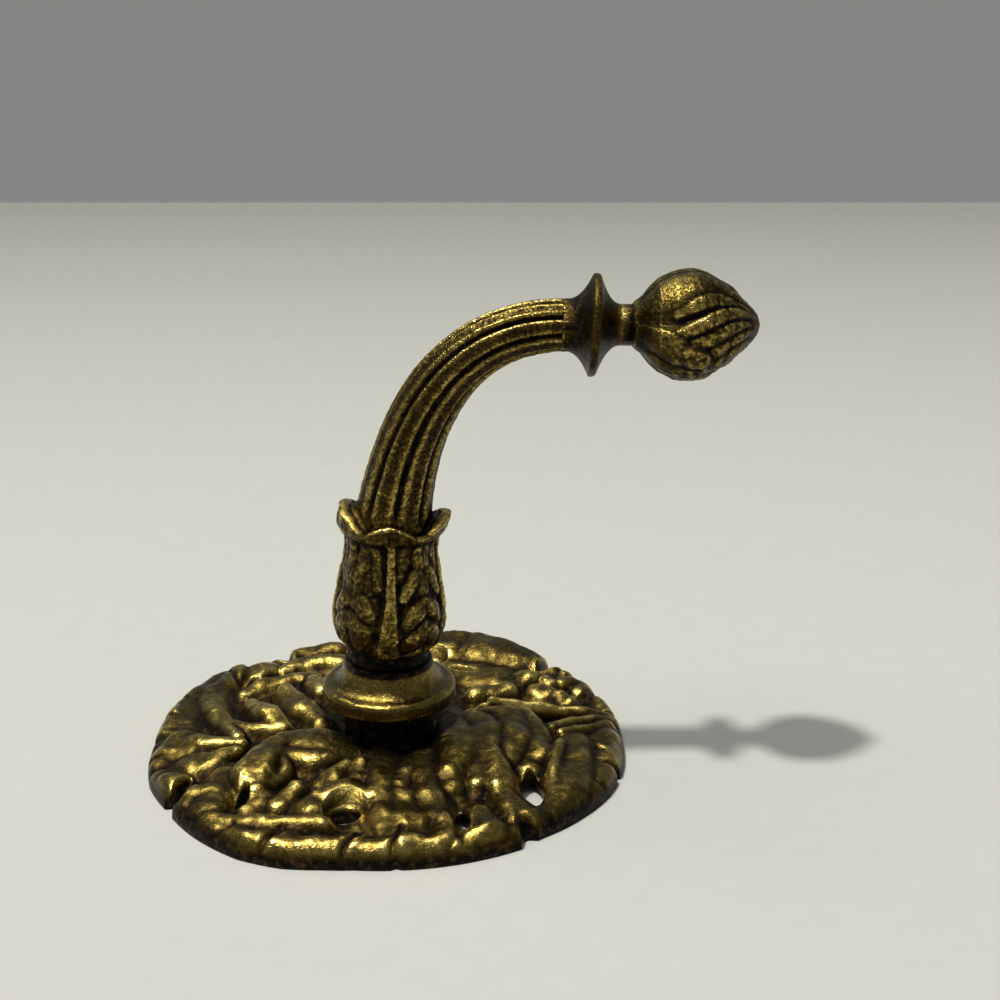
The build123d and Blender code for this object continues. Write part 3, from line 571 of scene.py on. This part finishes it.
def close_back(sheet, shape):
    """Rings from the outline inwards along the recessed back, up to the nut's pocket and closed in the middle."""
    pocket_r = 4.7
    pocket_top = NUT_HIGH[2]
    web = shape.recess_height - shape.shell_wall
    outline = [edge for edge in sheet.edges if edge.is_boundary]
    rings = (("rim", 2.4, 0.0), ("rim", 3.6, 0.4), ("flat", 28.0, 0.9), ("flat", 20.0, 1.5), ("flat", 12.0, 1.8),
             ("flat", 9.3, web), ("flat", pocket_r, web), ("flat", pocket_r, pocket_top), ("flat", 1.0, pocket_top))
    for kind, size, height in rings:
        made = bmesh.ops.extrude_edge_only(sheet, edges=outline)
        outline = [item for item in made["geom"] if isinstance(item, bmesh.types.BMEdge)]
        ring = [item for item in made["geom"] if isinstance(item, bmesh.types.BMVert)]
        for vert in ring:
            turn = math.atan2(vert.co.y, vert.co.x)
            radius = size
            if kind == "rim":
                radius = float(rim_radius(np.array(math.degrees(turn) % 360))) - size
            vert.co = Vector((radius * math.cos(turn), radius * math.sin(turn), height)) * MM
    bmesh.ops.holes_fill(sheet, edges=outline, sides=0)
    bmesh.ops.recalc_face_normals(sheet, faces=sheet.faces)


def slot_cutter(x, y, length, width, turn):
    """Upright cutter with an oval outline, for an opening through the shell."""
    cutter = bmesh.new()
    bmesh.ops.create_cone(cutter, cap_ends=True, segments=28, radius1=1, radius2=1, depth=20 * MM)
    angle = math.radians(turn)
    for vert in cutter.verts:
        across = vert.co.x * width / 2
        along = vert.co.y * length / 2 * (1 + 0.18 * vert.co.x)
        vert.co.x = (x + along * math.cos(angle) + across * math.sin(angle)) * MM
        vert.co.y = (y + along * math.sin(angle) - across * math.cos(angle)) * MM
    return cutter


def stud_bore(low, high):
    """Cutter for the bore round the stud between two heights."""
    return spin_profile(((0, low), (BORE_RADIUS, low), (BORE_RADIUS, high), (0, high)), 48)


def moved(shape, x, y):
    """The bmesh, moved sideways by millimetres."""
    bmesh.ops.translate(shape, verts=shape.verts, vec=Vector((x, y, 0)) * MM)
    return shape


class HOOK_OT_rosette(bpy.types.Operator):
    """Cast rosette with its acanthus relief, recessed back, screw seats and openings"""

    bl_idname = "hook.rosette"
    bl_label = "Rosette"

    def execute(self, context):
        shape = context.scene.hook_shape
        front = rosette_front(shape)
        close_back(front, shape)
        piece = make_piece("rosette_relief", front)
        post_r = shape.screw_seat / 2 + shape.shell_wall
        posts = [moved(spin_profile(((0, 0), (post_r, 0), (post_r, 2.0), (0, 2.0)), 48), x, y)
                 for x, y in screw_centres(shape)]
        combine(piece, merge_shapes(posts), "UNION")
        hole_r, seat_r, seat_z = shape.screw_hole / 2, shape.screw_seat / 2, shape.seat_height
        stepped = ((0, -2), (hole_r, -2), (hole_r, seat_z), (seat_r, seat_z), (seat_r, 14), (0, 14))
        cutters = [moved(spin_profile(stepped, 64), x, y) for x, y in screw_centres(shape)]
        cutters += [slot_cutter(*piercing) for piercing in PIERCINGS]
        cutters.append(stud_bore(3, 14))
        combine(piece, merge_shapes(cutters), "DIFFERENCE")

        # Painted shade: painted shadow on the hub and ring under the collar, darker low down near the wall, darker
        # down the screw holes, and lighter on their seats
        def shade(at):
            radius = np.hypot(at[:, 0], at[:, 1])
            painted_shade = np.clip((10.5 - radius) / 2.5, 0, 1) + 0.34 * np.clip((2.6 - at[:, 2]) / 1.4, 0, 1)
            for x, y in screw_centres(shape):
                seat = np.clip((seat_r + 0.25 - np.hypot(at[:, 0] - x, at[:, 1] - y)) / 0.1, 0, 1)
                painted_shade = painted_shade + seat * np.where(at[:, 2] > seat_z - 0.1, -0.35, 1.0)
            return painted_shade

        mark_hollows_and_shade(piece, (2, 14, 60), (0.65, 0.5, 0.2), sides=0.30, dark=shade)
        fit(piece, "rosette", aged_brass("rosette_metal", context.scene.hook_finish, rub_and_sheen=0.13,
                                                          grain=0.40, pits=0.25, warmth=0.7, gloss=0.23))
        return {"FINISHED"}


class HOOK_OT_collar(bpy.types.Operator):
    """Turned collar with a plain band and a bright cavetto"""

    bl_idname = "hook.collar"
    bl_label = "Collar"

    def execute(self, context):
        foot, top = COLLAR_LOW[2], COLLAR_HIGH[2]
        band_r = COLLAR_HIGH[0]
        band_low, band_high = foot + 0.75, foot + 3.1
        wide_r, narrow_r, start_z = band_r - 0.55, 6.3, band_high + 0.02
        cavetto = [(wide_r - (wide_r - narrow_r) * share ** 0.62, start_z + (top - start_z) * share ** 2.0)
                   for share in np.linspace(0.02, 1, 22)]
        profile = [(BORE_RADIUS, foot), (6.8, foot), (8.4, foot + 0.3), (band_r - 0.5, foot + 0.5),
                   (band_r - 0.15, band_low), (band_r, band_low + 0.35), (band_r - 0.05, band_low + 1.2),
                   (band_r - 0.02, band_high - 0.75), (band_r - 0.12, band_high - 0.35),
                   (band_r - 0.42, band_high - 0.1), *cavetto, (5.9, top), (BORE_RADIUS, top)]
        turning = spin_profile(profile, 168)
        for vert in turning.verts:
            bump = noise.noise(vert.co / MM / 3.0)
            radial = Vector((vert.co.x, vert.co.y, 0))
            if radial.length > 5 * MM:
                vert.co += radial.normalized() * bump * -0.05 * MM - radial.normalized() * 0.03 * MM
        piece = make_piece("collar_turned", turning)

        # Painted shadow of the calyx at the top, together with its black patina; painted shade under the band; the
        # band itself a little darker
        def shade(at):
            z = at[:, 2]
            return (np.clip((z - top + 1.0) / 0.8, 0, 1) + np.clip((band_low - 0.1 - z) / 0.4, 0, 1)
                    + 0.12 * np.clip((band_high - 0.3 - z) / 0.3, 0, 1))

        mark_hollows_and_shade(piece, (2, 10), (0.5, 0.1), dark=shade)
        # The collar is made lighter as a whole than the other pieces, partly as painted sheen for its cavetto
        fit(piece, "collar", aged_brass("collar_metal", context.scene.hook_finish, rub_and_sheen=0.29,
                                                        grain=0.40, pits=0.35, warmth=0.6, gloss=0.16))
        return {"FINISHED"}


def calyx_shell(shape):
    """Leafy calyx: relief flank, crown of four petals, bowl round the arm's foot, closed inside."""
    heights, radii = np.array(CALYX_SIDE).T
    foot_z = ARM_LOW[2]
    lip_z, bowl_r, leaf_r = 35.6, 4.7, 7.6
    wall_end, lip_end, bowl_end = 0.74, 0.80, 0.93

    def surface(across, along):
        angle = across * 360
        turn = np.radians(angle)
        lip = np.full(len(across), lip_z)
        flare = np.zeros(len(across))
        for petal_angle, tip_z, half_width, petal_flare in CROWN_PETALS:
            away = angle_between(angle, petal_angle) / half_width
            swell = np.clip(1 - away ** 1.7, 0, 1)
            lip = np.maximum(lip, lip_z + (tip_z - lip_z) * swell)
            flare = flare + petal_flare * np.clip(1 - away, 0, 1)

        # flank with its crown and its leaf relief
        side_share = np.abs(np.cos(turn))
        wall = np.clip(along / wall_end, 0, 1)
        z = foot_z + (lip - foot_z) * wall
        profile = np.interp(z, heights, radii)
        crown = np.clip((z - 34.4) / 0.8, 0, 1)
        profile = profile - crown * (1 - side_share) * np.clip(profile - 7.05, 0, None) * 0.75
        quarter = (angle + 45) % 90 - 45
        leaf = np.floor((angle + 45) / 90)
        mirror = np.where(leaf % 2 == 0, -1.0, 1.0)
        unrolled = quarter * math.pi / 180 * leaf_r * mirror
        mass = raise_lobes(unrolled, z, np.zeros(len(z)), CALYX_LOBES, swollen=1.9, sunk=0.3, roundness=1.0)
        relief = raise_lobes(unrolled, z, mass, CALYX_LOBES, swollen=1.15, blend=0.08, roundness=0.8)
        relief = relief * (1 - crown) * np.clip((z - 17.2) / 0.8, 0, 1)
        relief = relief + (0.55 + 0.2 * side_share) * np.clip((z - 33.9) / 1.3, 0, 1) ** 1.5
        vein = 0.042 * np.cos(turn * 16) * crown
        radius = profile - 0.95 + relief + vein
        radius = radius + flare * np.clip((z - 35.2) / 2.5, 0, 1) ** 1.5

        # lip, turned over inwards
        turned = np.clip((along - wall_end) / (lip_end - wall_end), 0, 1)
        lip_r = radius
        thickness = 0.9 + 0.6 * side_share
        radius = radius - thickness / 2 * (1 - np.cos(turned * math.pi))
        z = z + 0.40 * np.sin(turned * math.pi)

        # bowl down to the arm's foot, and the floor inside it
        bowl = np.clip((along - lip_end) / (bowl_end - lip_end), 0, 1)
        start_r = lip_r - thickness
        join_z = 37.0 + 3.0 * side_share ** 1.5
        radius = np.where(bowl > 0, start_r + (bowl_r - start_r) * bowl ** 0.8, radius)
        dip = 0.35 + 0.6 * side_share * np.cos(turn).clip(0, 1)
        z = np.where(bowl > 0, lip + (join_z - lip) * bowl ** 2 - dip * np.sin(bowl * math.pi) ** 0.8, z)
        inner = np.clip((along - bowl_end) / (1 - bowl_end), 0, 1)
        radius = np.where(inner > 0, bowl_r * (1 - inner), radius)
        radius = np.where(along <= 0, 0, radius)

        # cast unevenness, then the lean from the foot upwards
        lumps = np.column_stack((*around(radius, turn), z))
        coarse = unevenness(lumps, 1.7, 3) * 0.20 + unevenness(lumps, 0.6, 4) * 0.09
        x, y = around(radius + coarse * np.clip((radius - 1) / 4, 0, 1), turn)
        lean = math.radians(shape.calyx_lean)
        rise = z - foot_z
        leaning_x = x * math.cos(lean) + rise * math.sin(lean)
        leaning_z = foot_z + rise * math.cos(lean) - x * math.sin(lean)
        firm = np.clip(rise / 3, 0, 1)
        x = x + (leaning_x - x) * firm
        z = np.maximum(z + (leaning_z - z) * firm, foot_z)
        return np.column_stack((x, y, z))
    return lay_grid(*CALYX_GRID, surface)


def arm_axis(shape, share):
    """Points and directions along the arm's middle line."""
    lean = math.radians(shape.foot_lean)
    foot = np.array((shape.arm_foot_x, shape.arm_foot_z))
    end = np.array((shape.arm_end_x, shape.arm_height))
    up = foot + np.array((math.sin(lean), math.cos(lean))) * shape.foot_pull
    back = end - np.array((shape.end_pull, 0))
    t = share[:, None]
    place = (1 - t) ** 3 * foot + 3 * (1 - t) ** 2 * t * up + 3 * (1 - t) * t ** 2 * back + t ** 3 * end
    run = 3 * (1 - t) ** 2 * (up - foot) + 6 * (1 - t) * t * (back - up) + 3 * t ** 2 * (end - back)
    return place, run / np.linalg.norm(run, axis=1)[:, None]


def fluted_arm(shape):
    """Fluted arm from inside the calyx to inside the disc."""
    def surface(across, along):
        share = np.clip((along - 0.03) / 0.94, 0, 1)
        place, run = arm_axis(shape, share)
        past_end = np.clip(along - 0.97, 0, None) / 0.03 * 3.0
        turn = across * math.tau
        radius = np.interp(share, *np.array(ARM_SIDE).T)
        step = math.tau / shape.flute_count
        groove = math.radians(-87) + math.radians(10) * share
        phase = ((turn - groove) / step + 0.5) % 1 - 0.5
        cut = np.exp(-(phase / 0.125) ** 2)
        band = np.cos(phase * math.tau) * 0.5 + 0.5
        fade = np.clip((share - 0.02) / 0.06, 0, 1)
        radius = radius - fade * (shape.flute_depth * 1.1 * cut - 0.06 * np.exp(-((np.abs(phase) - 0.28) / 0.10) ** 2)
                                  + 0.10 * (1 - band) ** 2)
        radius = np.where((along <= 0) | (along >= 1), 0, radius)

        def laid(radius):
            off_axis, y = around(radius, turn)
            x = place[:, 0] + off_axis * run[:, 1] + past_end * run[:, 0]
            z = place[:, 1] - off_axis * run[:, 0] + past_end * run[:, 1]
            return np.column_stack((x, y, z))

        lumps = laid(radius)
        coarse = unevenness(lumps, 1.4, 5) * 0.06 + unevenness(lumps, 0.45, 6) * 0.07
        return laid(radius + coarse * (radius > 1))
    return lay_grid(*ARM_GRID, surface)


def disc_and_neck(shape):
    """Thin-edged disc with concave flanks and the neck behind the bud, turned about the arm's end."""
    disc_x, disc_r = shape.disc_x, shape.disc_radius
    start_x, root_r, neck_r = disc_x - 4.3, 3.55, 2.85
    near = [(root_r + (disc_r - root_r) * share ** 2.6, start_x + 3.95 * share) for share in np.linspace(0, 1, 14)]
    edge = [(disc_r + 0.02, disc_x - 0.15), (disc_r + 0.02, disc_x + 0.2), (disc_r - 0.12, disc_x + 0.5)]
    far = [(neck_r + (disc_r - 0.3 - neck_r) * share ** 2.2, disc_x + 0.65 + 3.1 * (1 - share))
           for share in np.linspace(1, 0, 14)]
    profile = [(0, start_x), *near, *edge, *far, (neck_r, 34.4), (neck_r + 0.1, 35.6), (0, 35.6)]
    turning = spin_profile(profile, 144, axis="X")
    for vert in turning.verts:
        vert.co.x += vert.co.z * 0.06
        vert.co += Vector((0, 0, shape.arm_height * MM))
        vert.co += Vector((0, 0, 1)) * noise.noise(vert.co / MM / 1.8) * 0.05 * MM
    return turning


def leafy_bud(shape):
    """Bud with leaves that wind round it and meet at a rounded tip."""
    places, radii = np.array(BUD_SIDE).T
    reach = np.concatenate(([0], np.cumsum(np.hypot(np.diff(places), np.diff(radii)))))
    reach /= reach[-1]
    start_x, bud_length, leaf_r = 34.3, 17.7, 6.5

    def surface(across, along):
        share = np.clip((along - 0.04) / 0.96, 0, 1)
        x = np.interp(share, reach, places)
        full = np.interp(share, reach, radii)
        full = np.where(along <= 0, 0, full)
        turn = across * math.tau
        unrolled = ((math.radians(161) - turn) / math.pi + 0.5) % 1 * math.pi * leaf_r - math.pi * leaf_r / 2
        middle = np.sin(np.clip((x - start_x) / bud_length, 0, 1) * math.pi) ** 0.6
        level = np.zeros(len(x))
        mass = raise_lobes(unrolled, x, level, BUD_LOBES, swollen=1.6, sunk=0.45, blend=0.3, roundness=1.0)
        relief = raise_lobes(unrolled, x, mass, BUD_LOBES, swollen=1.15, blend=0.1, roundness=0.75)
        lumps = np.column_stack((x, *around(full, turn)))
        lower = np.clip(0.35 + (x - 40) / 9 - np.sin(turn) * 0.4, 0, 1)
        rough = unevenness(lumps, 1.3, 7) * 0.28 * lower + unevenness(lumps, 0.55, 8) * 0.10 * (0.3 + lower)
        radius = np.clip(full + (relief - 1.15 + rough) * middle, 0, full + 0.05)
        y, up = around(np.where(full < 0.3, full, radius), turn)
        return np.column_stack((x, y, shape.arm_height + up))
    return lay_grid(*BUD_GRID, surface)


class HOOK_OT_arm(bpy.types.Operator):
    """One casting: leafy calyx, fluted arm, disc, neck and bud"""

    bl_idname = "hook.arm"
    bl_label = "Arm"

    def execute(self, context):
        shape = context.scene.hook_shape
        piece = make_piece("arm_casting", calyx_shell(shape))
        combine(piece, fluted_arm(shape), "UNION")
        combine(piece, disc_and_neck(shape), "UNION")
        combine(piece, leafy_bud(shape), "UNION")
        bore_top = STUD_HIGH[2] + 1.2
        combine(piece, stud_bore(10, bore_top), "DIFFERENCE")
        neck_x = 33.2

        # Painted shadow under the calyx's flare at the foot, together with its black patina; darker round the disc's
        # edge and lighter round the neck
        def shade(at):
            groove = np.clip((ARM_LOW[2] + 2.6 - at[:, 2]) / 0.3, 0, 1)
            disc = np.clip(1.4 - np.abs(at[:, 0] - shape.disc_x - 0.1) / 0.9, 0, 1)
            neck = np.clip(1.3 - np.abs(at[:, 0] - neck_x) / 1.6, 0, 1)
            return groove + 0.22 * disc - 0.26 * neck

        mark_hollows_and_shade(piece, (2, 12, 40), (1.8, 1.6, 0.15), sides=0.12, dark=shade)
        fit(piece, "arm", aged_brass("arm_metal", context.scene.hook_finish, rub_and_sheen=0.05, grain=0.42,
                                                  pits=0.6, warmth=0.35, gloss=0.21))
        return {"FINISHED"}


class HOOK_OT_fixings(bpy.types.Operator):
    """Threaded stud through the collar, and the hexagon nut behind the rosette's web"""

    bl_idname = "hook.fixings"
    bl_label = "Stud and nut"

    def execute(self, context):
        shape = context.scene.hook_shape
        finish = context.scene.hook_finish
        low, high, stud_r = STUD_LOW[2], STUD_HIGH[2], STUD_HIGH[0]

        def thread(across, along):
            span = np.clip((along - 0.01) / 0.98, 0, 1)
            z = low + (high - low) * span
            phase = np.abs((z / shape.thread_pitch - across) % 1 - 0.5) * 2
            end = np.clip(np.minimum(z - low, high - z) / 0.5, 0, 1)
            radius = stud_r - 0.32 * phase * end - 0.35 * (1 - end)
            radius = np.where((along <= 0) | (along >= 1), 0, radius)
            return np.column_stack((*around(radius, across * math.tau), z))

        stud = make_piece("stud_threaded", lay_grid(*THREAD_GRID, thread))
        mark_hollows_and_shade(stud, (2,), (2.0,))
        metal = aged_brass("fixing_metal", finish, rub_and_sheen=0.02, grain=0.25, pits=0.3, warmth=0.3, gloss=0.38)
        fit(stud, "stud", metal)

        corner_r, flat_r = NUT_HIGH[0], NUT_HIGH[1]
        bottom, top = NUT_LOW[2], NUT_HIGH[2]
        chamfer = (corner_r - flat_r) * 0.6
        turned = spin_profile(((BORE_RADIUS, bottom), (flat_r, bottom), (corner_r, bottom + chamfer),
                               (corner_r, top - chamfer), (flat_r, top), (BORE_RADIUS, top)), 72)
        nut = make_piece("nut_hexagon", turned)
        hexagon = bmesh.new()
        bmesh.ops.create_cone(hexagon, cap_ends=True, segments=6, radius1=corner_r * MM, radius2=corner_r * MM,
                              depth=(top - bottom + 2) * MM)
        for vert in hexagon.verts:
            vert.co = Vector((vert.co.y, vert.co.x, vert.co.z + (top + bottom) / 2 * MM))
        bmesh.ops.recalc_face_normals(hexagon, faces=hexagon.faces)
        combine(nut, hexagon, "INTERSECT")
        nut.data.set_sharp_from_angle(angle=math.radians(25))
        mark_hollows_and_shade(nut, (1,), (0.3,))
        fit(nut, "nut", metal)
        return {"FINISHED"}


def add_node(tree, kind, inputs=None, **settings):
    """New shader node with its settings, and its inputs set or linked by name or number."""
    node = tree.nodes.new(kind)
    for setting, value in settings.items():
        setattr(node, setting, value)
    for key, value in (inputs or {}).items():
        if isinstance(value, bpy.types.NodeSocket):
            tree.links.new(value, node.inputs[key])
        else:
            node.inputs[key].default_value = value
    return node


def sum_of(tree, first, second, factor=1.0):
    """first + second * factor."""
    node = add_node(tree, "ShaderNodeMath", {0: second, 1: factor, 2: first}, operation="MULTIPLY_ADD")
    return node.outputs[0]


def product_of(tree, first, second):
    """first * second."""
    return add_node(tree, "ShaderNodeMath", {0: first, 1: second}, operation="MULTIPLY").outputs[0]


def noise_of(tree, place, scale, detail, roughness=0.5):
    """Cloudy value from 0 to 1 that varies over the piece."""
    return add_node(tree, "ShaderNodeTexNoise", {"Vector": place, "Scale": scale, "Detail": detail,
                                                 "Roughness": roughness}).outputs["Fac"]


def span_of(tree, value, low, high, to_low=0.0, to_high=1.0, clamp=True):
    """The value, stretched from one span to another."""
    return add_node(tree, "ShaderNodeMapRange", {"Value": value, "From Min": low, "From Max": high, "To Min": to_low,
                                                 "To Max": to_high}, clamp=clamp).outputs[0]


def mix_of(tree, share, first, second):
    """Colour that goes from the first to the second as the share goes from 0 to 1."""
    return add_node(tree, "ShaderNodeMix", {"Factor": share, 6: first, 7: second}, data_type="RGBA").outputs[2]


def bump_of(tree, height, strength, distance, below=None, **settings):
    """Bump of the given strength and depth in metres, on top of the bump below."""
    inputs = {"Height": height, "Strength": strength, "Distance": distance}
    if below:
        inputs["Normal"] = below
    return add_node(tree, "ShaderNodeBump", inputs, **settings).outputs[0]


def aged_brass(name, finish, rub_and_sheen, grain, pits, warmth, gloss):
    """Gilt brass that is dark in its hollows and rubbed bright on its crests, and darker where the hollow_and_shade
    attribute holds painted shade.
    rub_and_sheen is how bright it is as a whole, on the collar partly as painted sheen, warmth how rusty, gloss how
    rough, and grain and pits how strong they are."""
    material = bpy.data.materials.new(name)
    material.use_nodes = True
    tree = material.node_tree
    shader = tree.nodes["Principled BSDF"]
    place = add_node(tree, "ShaderNodeTexCoord").outputs["Object"]
    hollow_and_shade = add_node(tree, "ShaderNodeAttribute", attribute_name="hollow_and_shade").outputs["Fac"]
    clouds = noise_of(tree, place, 170.0, 4.0)
    mottle = noise_of(tree, place, 900.0, 5.0, 0.65)
    specks = noise_of(tree, place, 2600.0, 3.0, 0.7)
    pocks = noise_of(tree, place, 2900.0, 2.0, 0.55)
    # the tone falls with patina and with painted shade from the attribute
    tone = sum_of(tree, rub_and_sheen - 0.25, span_of(tree, hollow_and_shade, 0.72, 0.30, clamp=False))
    tone = sum_of(tree, tone, clouds, 0.55)
    tone = sum_of(tree, tone, mottle, 0.35 + grain * 0.5)
    tone = sum_of(tree, tone, specks, grain * 0.7)
    tone = sum_of(tree, tone, pits * 0.12 - grain * 0.6 - 0.36)
    pit = span_of(tree, pocks, 0.50, 0.66)
    tone = sum_of(tree, tone, pit, -0.42 * pits)
    ramp = add_node(tree, "ShaderNodeValToRGB", {"Fac": tone})
    stops = ((0.0, finish.soot_and_shadow), (0.12, finish.patina), (0.34, finish.brown), (0.56, finish.brass),
             (0.80, finish.gold), (1.0, finish.pale))
    for at, _ in stops[1:-1]:
        ramp.color_ramp.elements.new(at)
    for element, (at, colour) in zip(ramp.color_ramp.elements, stops):
        element.position = at
        element.color = (*colour, 1.0)
    rusty = product_of(tree, span_of(tree, mottle, 0.52, 0.68, 0.0, warmth), span_of(tree, tone, 0.62, 0.30))
    colour = mix_of(tree, rusty, ramp.outputs["Color"], (*finish.rust, 1.0))
    tree.links.new(colour, shader.inputs["Base Color"])
    tree.links.new(span_of(tree, tone, 0.05, 0.35, 0.86, 1.0), shader.inputs["Metallic"])
    dull = span_of(tree, tone, 0.1, 0.95, gloss + 0.26, gloss - 0.04)
    dull = sum_of(tree, dull, sum_of(tree, -0.5, clouds), 0.22)
    tree.links.new(dull, shader.inputs["Roughness"])
    fine = bump_of(tree, mottle, 0.4 + grain * 0.3, 0.0003)
    finer = bump_of(tree, specks, 0.25 + grain * 0.5, 0.00009, fine)
    pitted = bump_of(tree, pit, min(pits, 1.0) * 0.7 + 0.02, 0.00012, finer, invert=True)
    tree.links.new(pitted, shader.inputs["Normal"])
    return material


def flat_board(name, corners):
    """Board through four corners in millimetres, divided so its shading is even."""
    board = bmesh.new()
    board.faces.new([board.verts.new(Vector(corner) * MM) for corner in corners])
    bmesh.ops.subdivide_edges(board, edges=board.edges, cuts=3, use_grid_fill=True)
    return make_piece(name, board)


def stage_material(name, colour, shown, fade):
    """Matt paint with a faint mottle; shown is the share of its own colour that the camera always sees,
    and fade how much painted shade darkens it towards the back."""
    material = bpy.data.materials.new(name)
    material.use_nodes = True
    tree = material.node_tree
    shader = tree.nodes["Principled BSDF"]
    place = add_node(tree, "ShaderNodeTexCoord").outputs["Object"]
    darker = [part * 0.97 for part in colour]
    lighter = [min(part * 1.03, 1) for part in colour]
    tint = mix_of(tree, noise_of(tree, place, 220.0, 4.0), (*darker, 1.0), (*lighter, 1.0))
    depth = add_node(tree, "ShaderNodeSeparateXYZ", {0: place}).outputs["Y"]
    # painted shade towards the back
    far = span_of(tree, depth, 0.0, FADE_END * MM)
    far = add_node(tree, "ShaderNodeMath", {0: far, 1: FADE_POWER}, operation="POWER").outputs[0]
    tint = mix_of(tree, product_of(tree, far, fade), tint, (0.0, 0.0, 0.0, 1.0))
    tree.links.new(tint, shader.inputs["Base Color"])
    shader.inputs["Roughness"].default_value = 0.75
    shader.inputs["Specular IOR Level"].default_value = 0.2
    if shown:
        path = add_node(tree, "ShaderNodeLightPath")
        seen = add_node(tree, "ShaderNodeMath", {0: path.outputs["Is Camera Ray"], 1: path.outputs["Is Glossy Ray"]},
                        operation="ADD", use_clamp=True).outputs[0]
        glow = add_node(tree, "ShaderNodeEmission", {"Color": tint, "Strength": 1.0}).outputs[0]
        share = product_of(tree, seen, shown)
        blend = add_node(tree, "ShaderNodeMixShader", {0: share, 1: shader.outputs[0], 2: glow}).outputs[0]
        tree.links.new(blend, tree.nodes["Material Output"].inputs["Surface"])
    return material


def add_lamp(kind, name, power, colour, place, aim, **settings):
    """Lamp at a place in millimetres that points at another."""
    data = bpy.data.lights.new(name, kind)
    data.energy = power
    data.color = colour
    for setting, value in settings.items():
        setattr(data, setting, value)
    lamp = bpy.data.objects.new(name, data)
    lamp.location = Vector(place) * MM
    lamp.rotation_euler = (Vector(aim) - Vector(place)).to_track_quat("-Z", "Y").to_euler()
    bpy.context.scene.collection.objects.link(lamp)


class HOOK_OT_stage(bpy.types.Operator):
    """Pale table, grey backdrop, lamps and the camera"""

    bl_idname = "hook.stage"
    bl_label = "Stage"

    def execute(self, context):
        finish = context.scene.hook_finish
        scene = context.scene
        half, back = TABLE_HALF, TABLE_BACK
        table = flat_board("table", ((-half, -half, 0), (half, -half, 0), (half, back, 0), (-half, back, 0)))
        table.data.materials.append(stage_material("table_paint", finish.table, 0.0, TABLE_BACK_SHADE))
        half, away, low, high = BACKDROP_HALF, BACKDROP_AWAY, BACKDROP_LOW, BACKDROP_HIGH
        corners = ((-half, away, low), (half, away, low), (half, away, high), (-half, away, high))
        backdrop = flat_board("backdrop", corners)
        backdrop.data.materials.append(stage_material("backdrop_paint", finish.backdrop, 1.0, 0.0))
        aim = (12, 0, 25)
        add_lamp("SUN", "overhead_lamp", 2.1, (1.0, 0.97, 0.90), (-150, -32, 540), aim, angle=math.radians(3.5))
        add_lamp("AREA", "ceiling_glow", 1.6, (1.0, 0.98, 0.94), (-120, 60, 620), aim, shape="RECTANGLE", size=0.55,
                 size_y=0.45)
        world = bpy.data.worlds.new("room")
        scene.world = world
        world.use_nodes = True
        glow = world.node_tree.nodes["Background"]
        glow.inputs["Color"].default_value = ROOM_COLOUR
        glow.inputs["Strength"].default_value = ROOM_STRENGTH
        camera_data = bpy.data.cameras.new("camera")
        camera_data.lens = CAMERA_LENS
        camera_data.sensor_width = CAMERA_SENSOR
        camera_data.clip_start = 0.005
        camera = bpy.data.objects.new("camera", camera_data)
        camera.location = Vector(CAMERA_PLACE) * MM
        camera.rotation_euler = (math.radians(CAMERA_TILT), 0, 0)
        scene.collection.objects.link(camera)
        scene.camera = camera
        scene.view_settings.view_transform = "Standard"
        return {"FINISHED"}


class HOOK_PT_panel(bpy.types.Panel):
    """Lists the hook's pieces and its stage"""

    bl_idname = "HOOK_PT_panel"
    bl_label = "Wall hook"
    bl_space_type = "VIEW_3D"
    bl_region_type = "UI"
    bl_category = "Wall hook"

    def draw(self, context):
        for step in STEPS:
            self.layout.operator(step.bl_idname)


STEPS = (HOOK_OT_rosette, HOOK_OT_collar, HOOK_OT_arm, HOOK_OT_fixings, HOOK_OT_stage)
CLASSES = (HookShape, HookFinish, *STEPS, HOOK_PT_panel)


def register():
    """Makes the classes and the hook's settings known to the program."""
    for item in CLASSES:
        bpy.utils.register_class(item)
    bpy.types.Scene.hook_shape = PointerProperty(type=HookShape)
    bpy.types.Scene.hook_finish = PointerProperty(type=HookFinish)


def unregister():
    """Takes them away again."""
    del bpy.types.Scene.hook_finish
    del bpy.types.Scene.hook_shape
    for item in reversed(CLASSES):
        bpy.utils.unregister_class(item)


def main():
    """Builds every piece and the stage."""
    register()
    for step in STEPS:
        group, name = step.bl_idname.split(".")
        getattr(getattr(bpy.ops, group), name)()


if __name__ == "__main__":
    main()
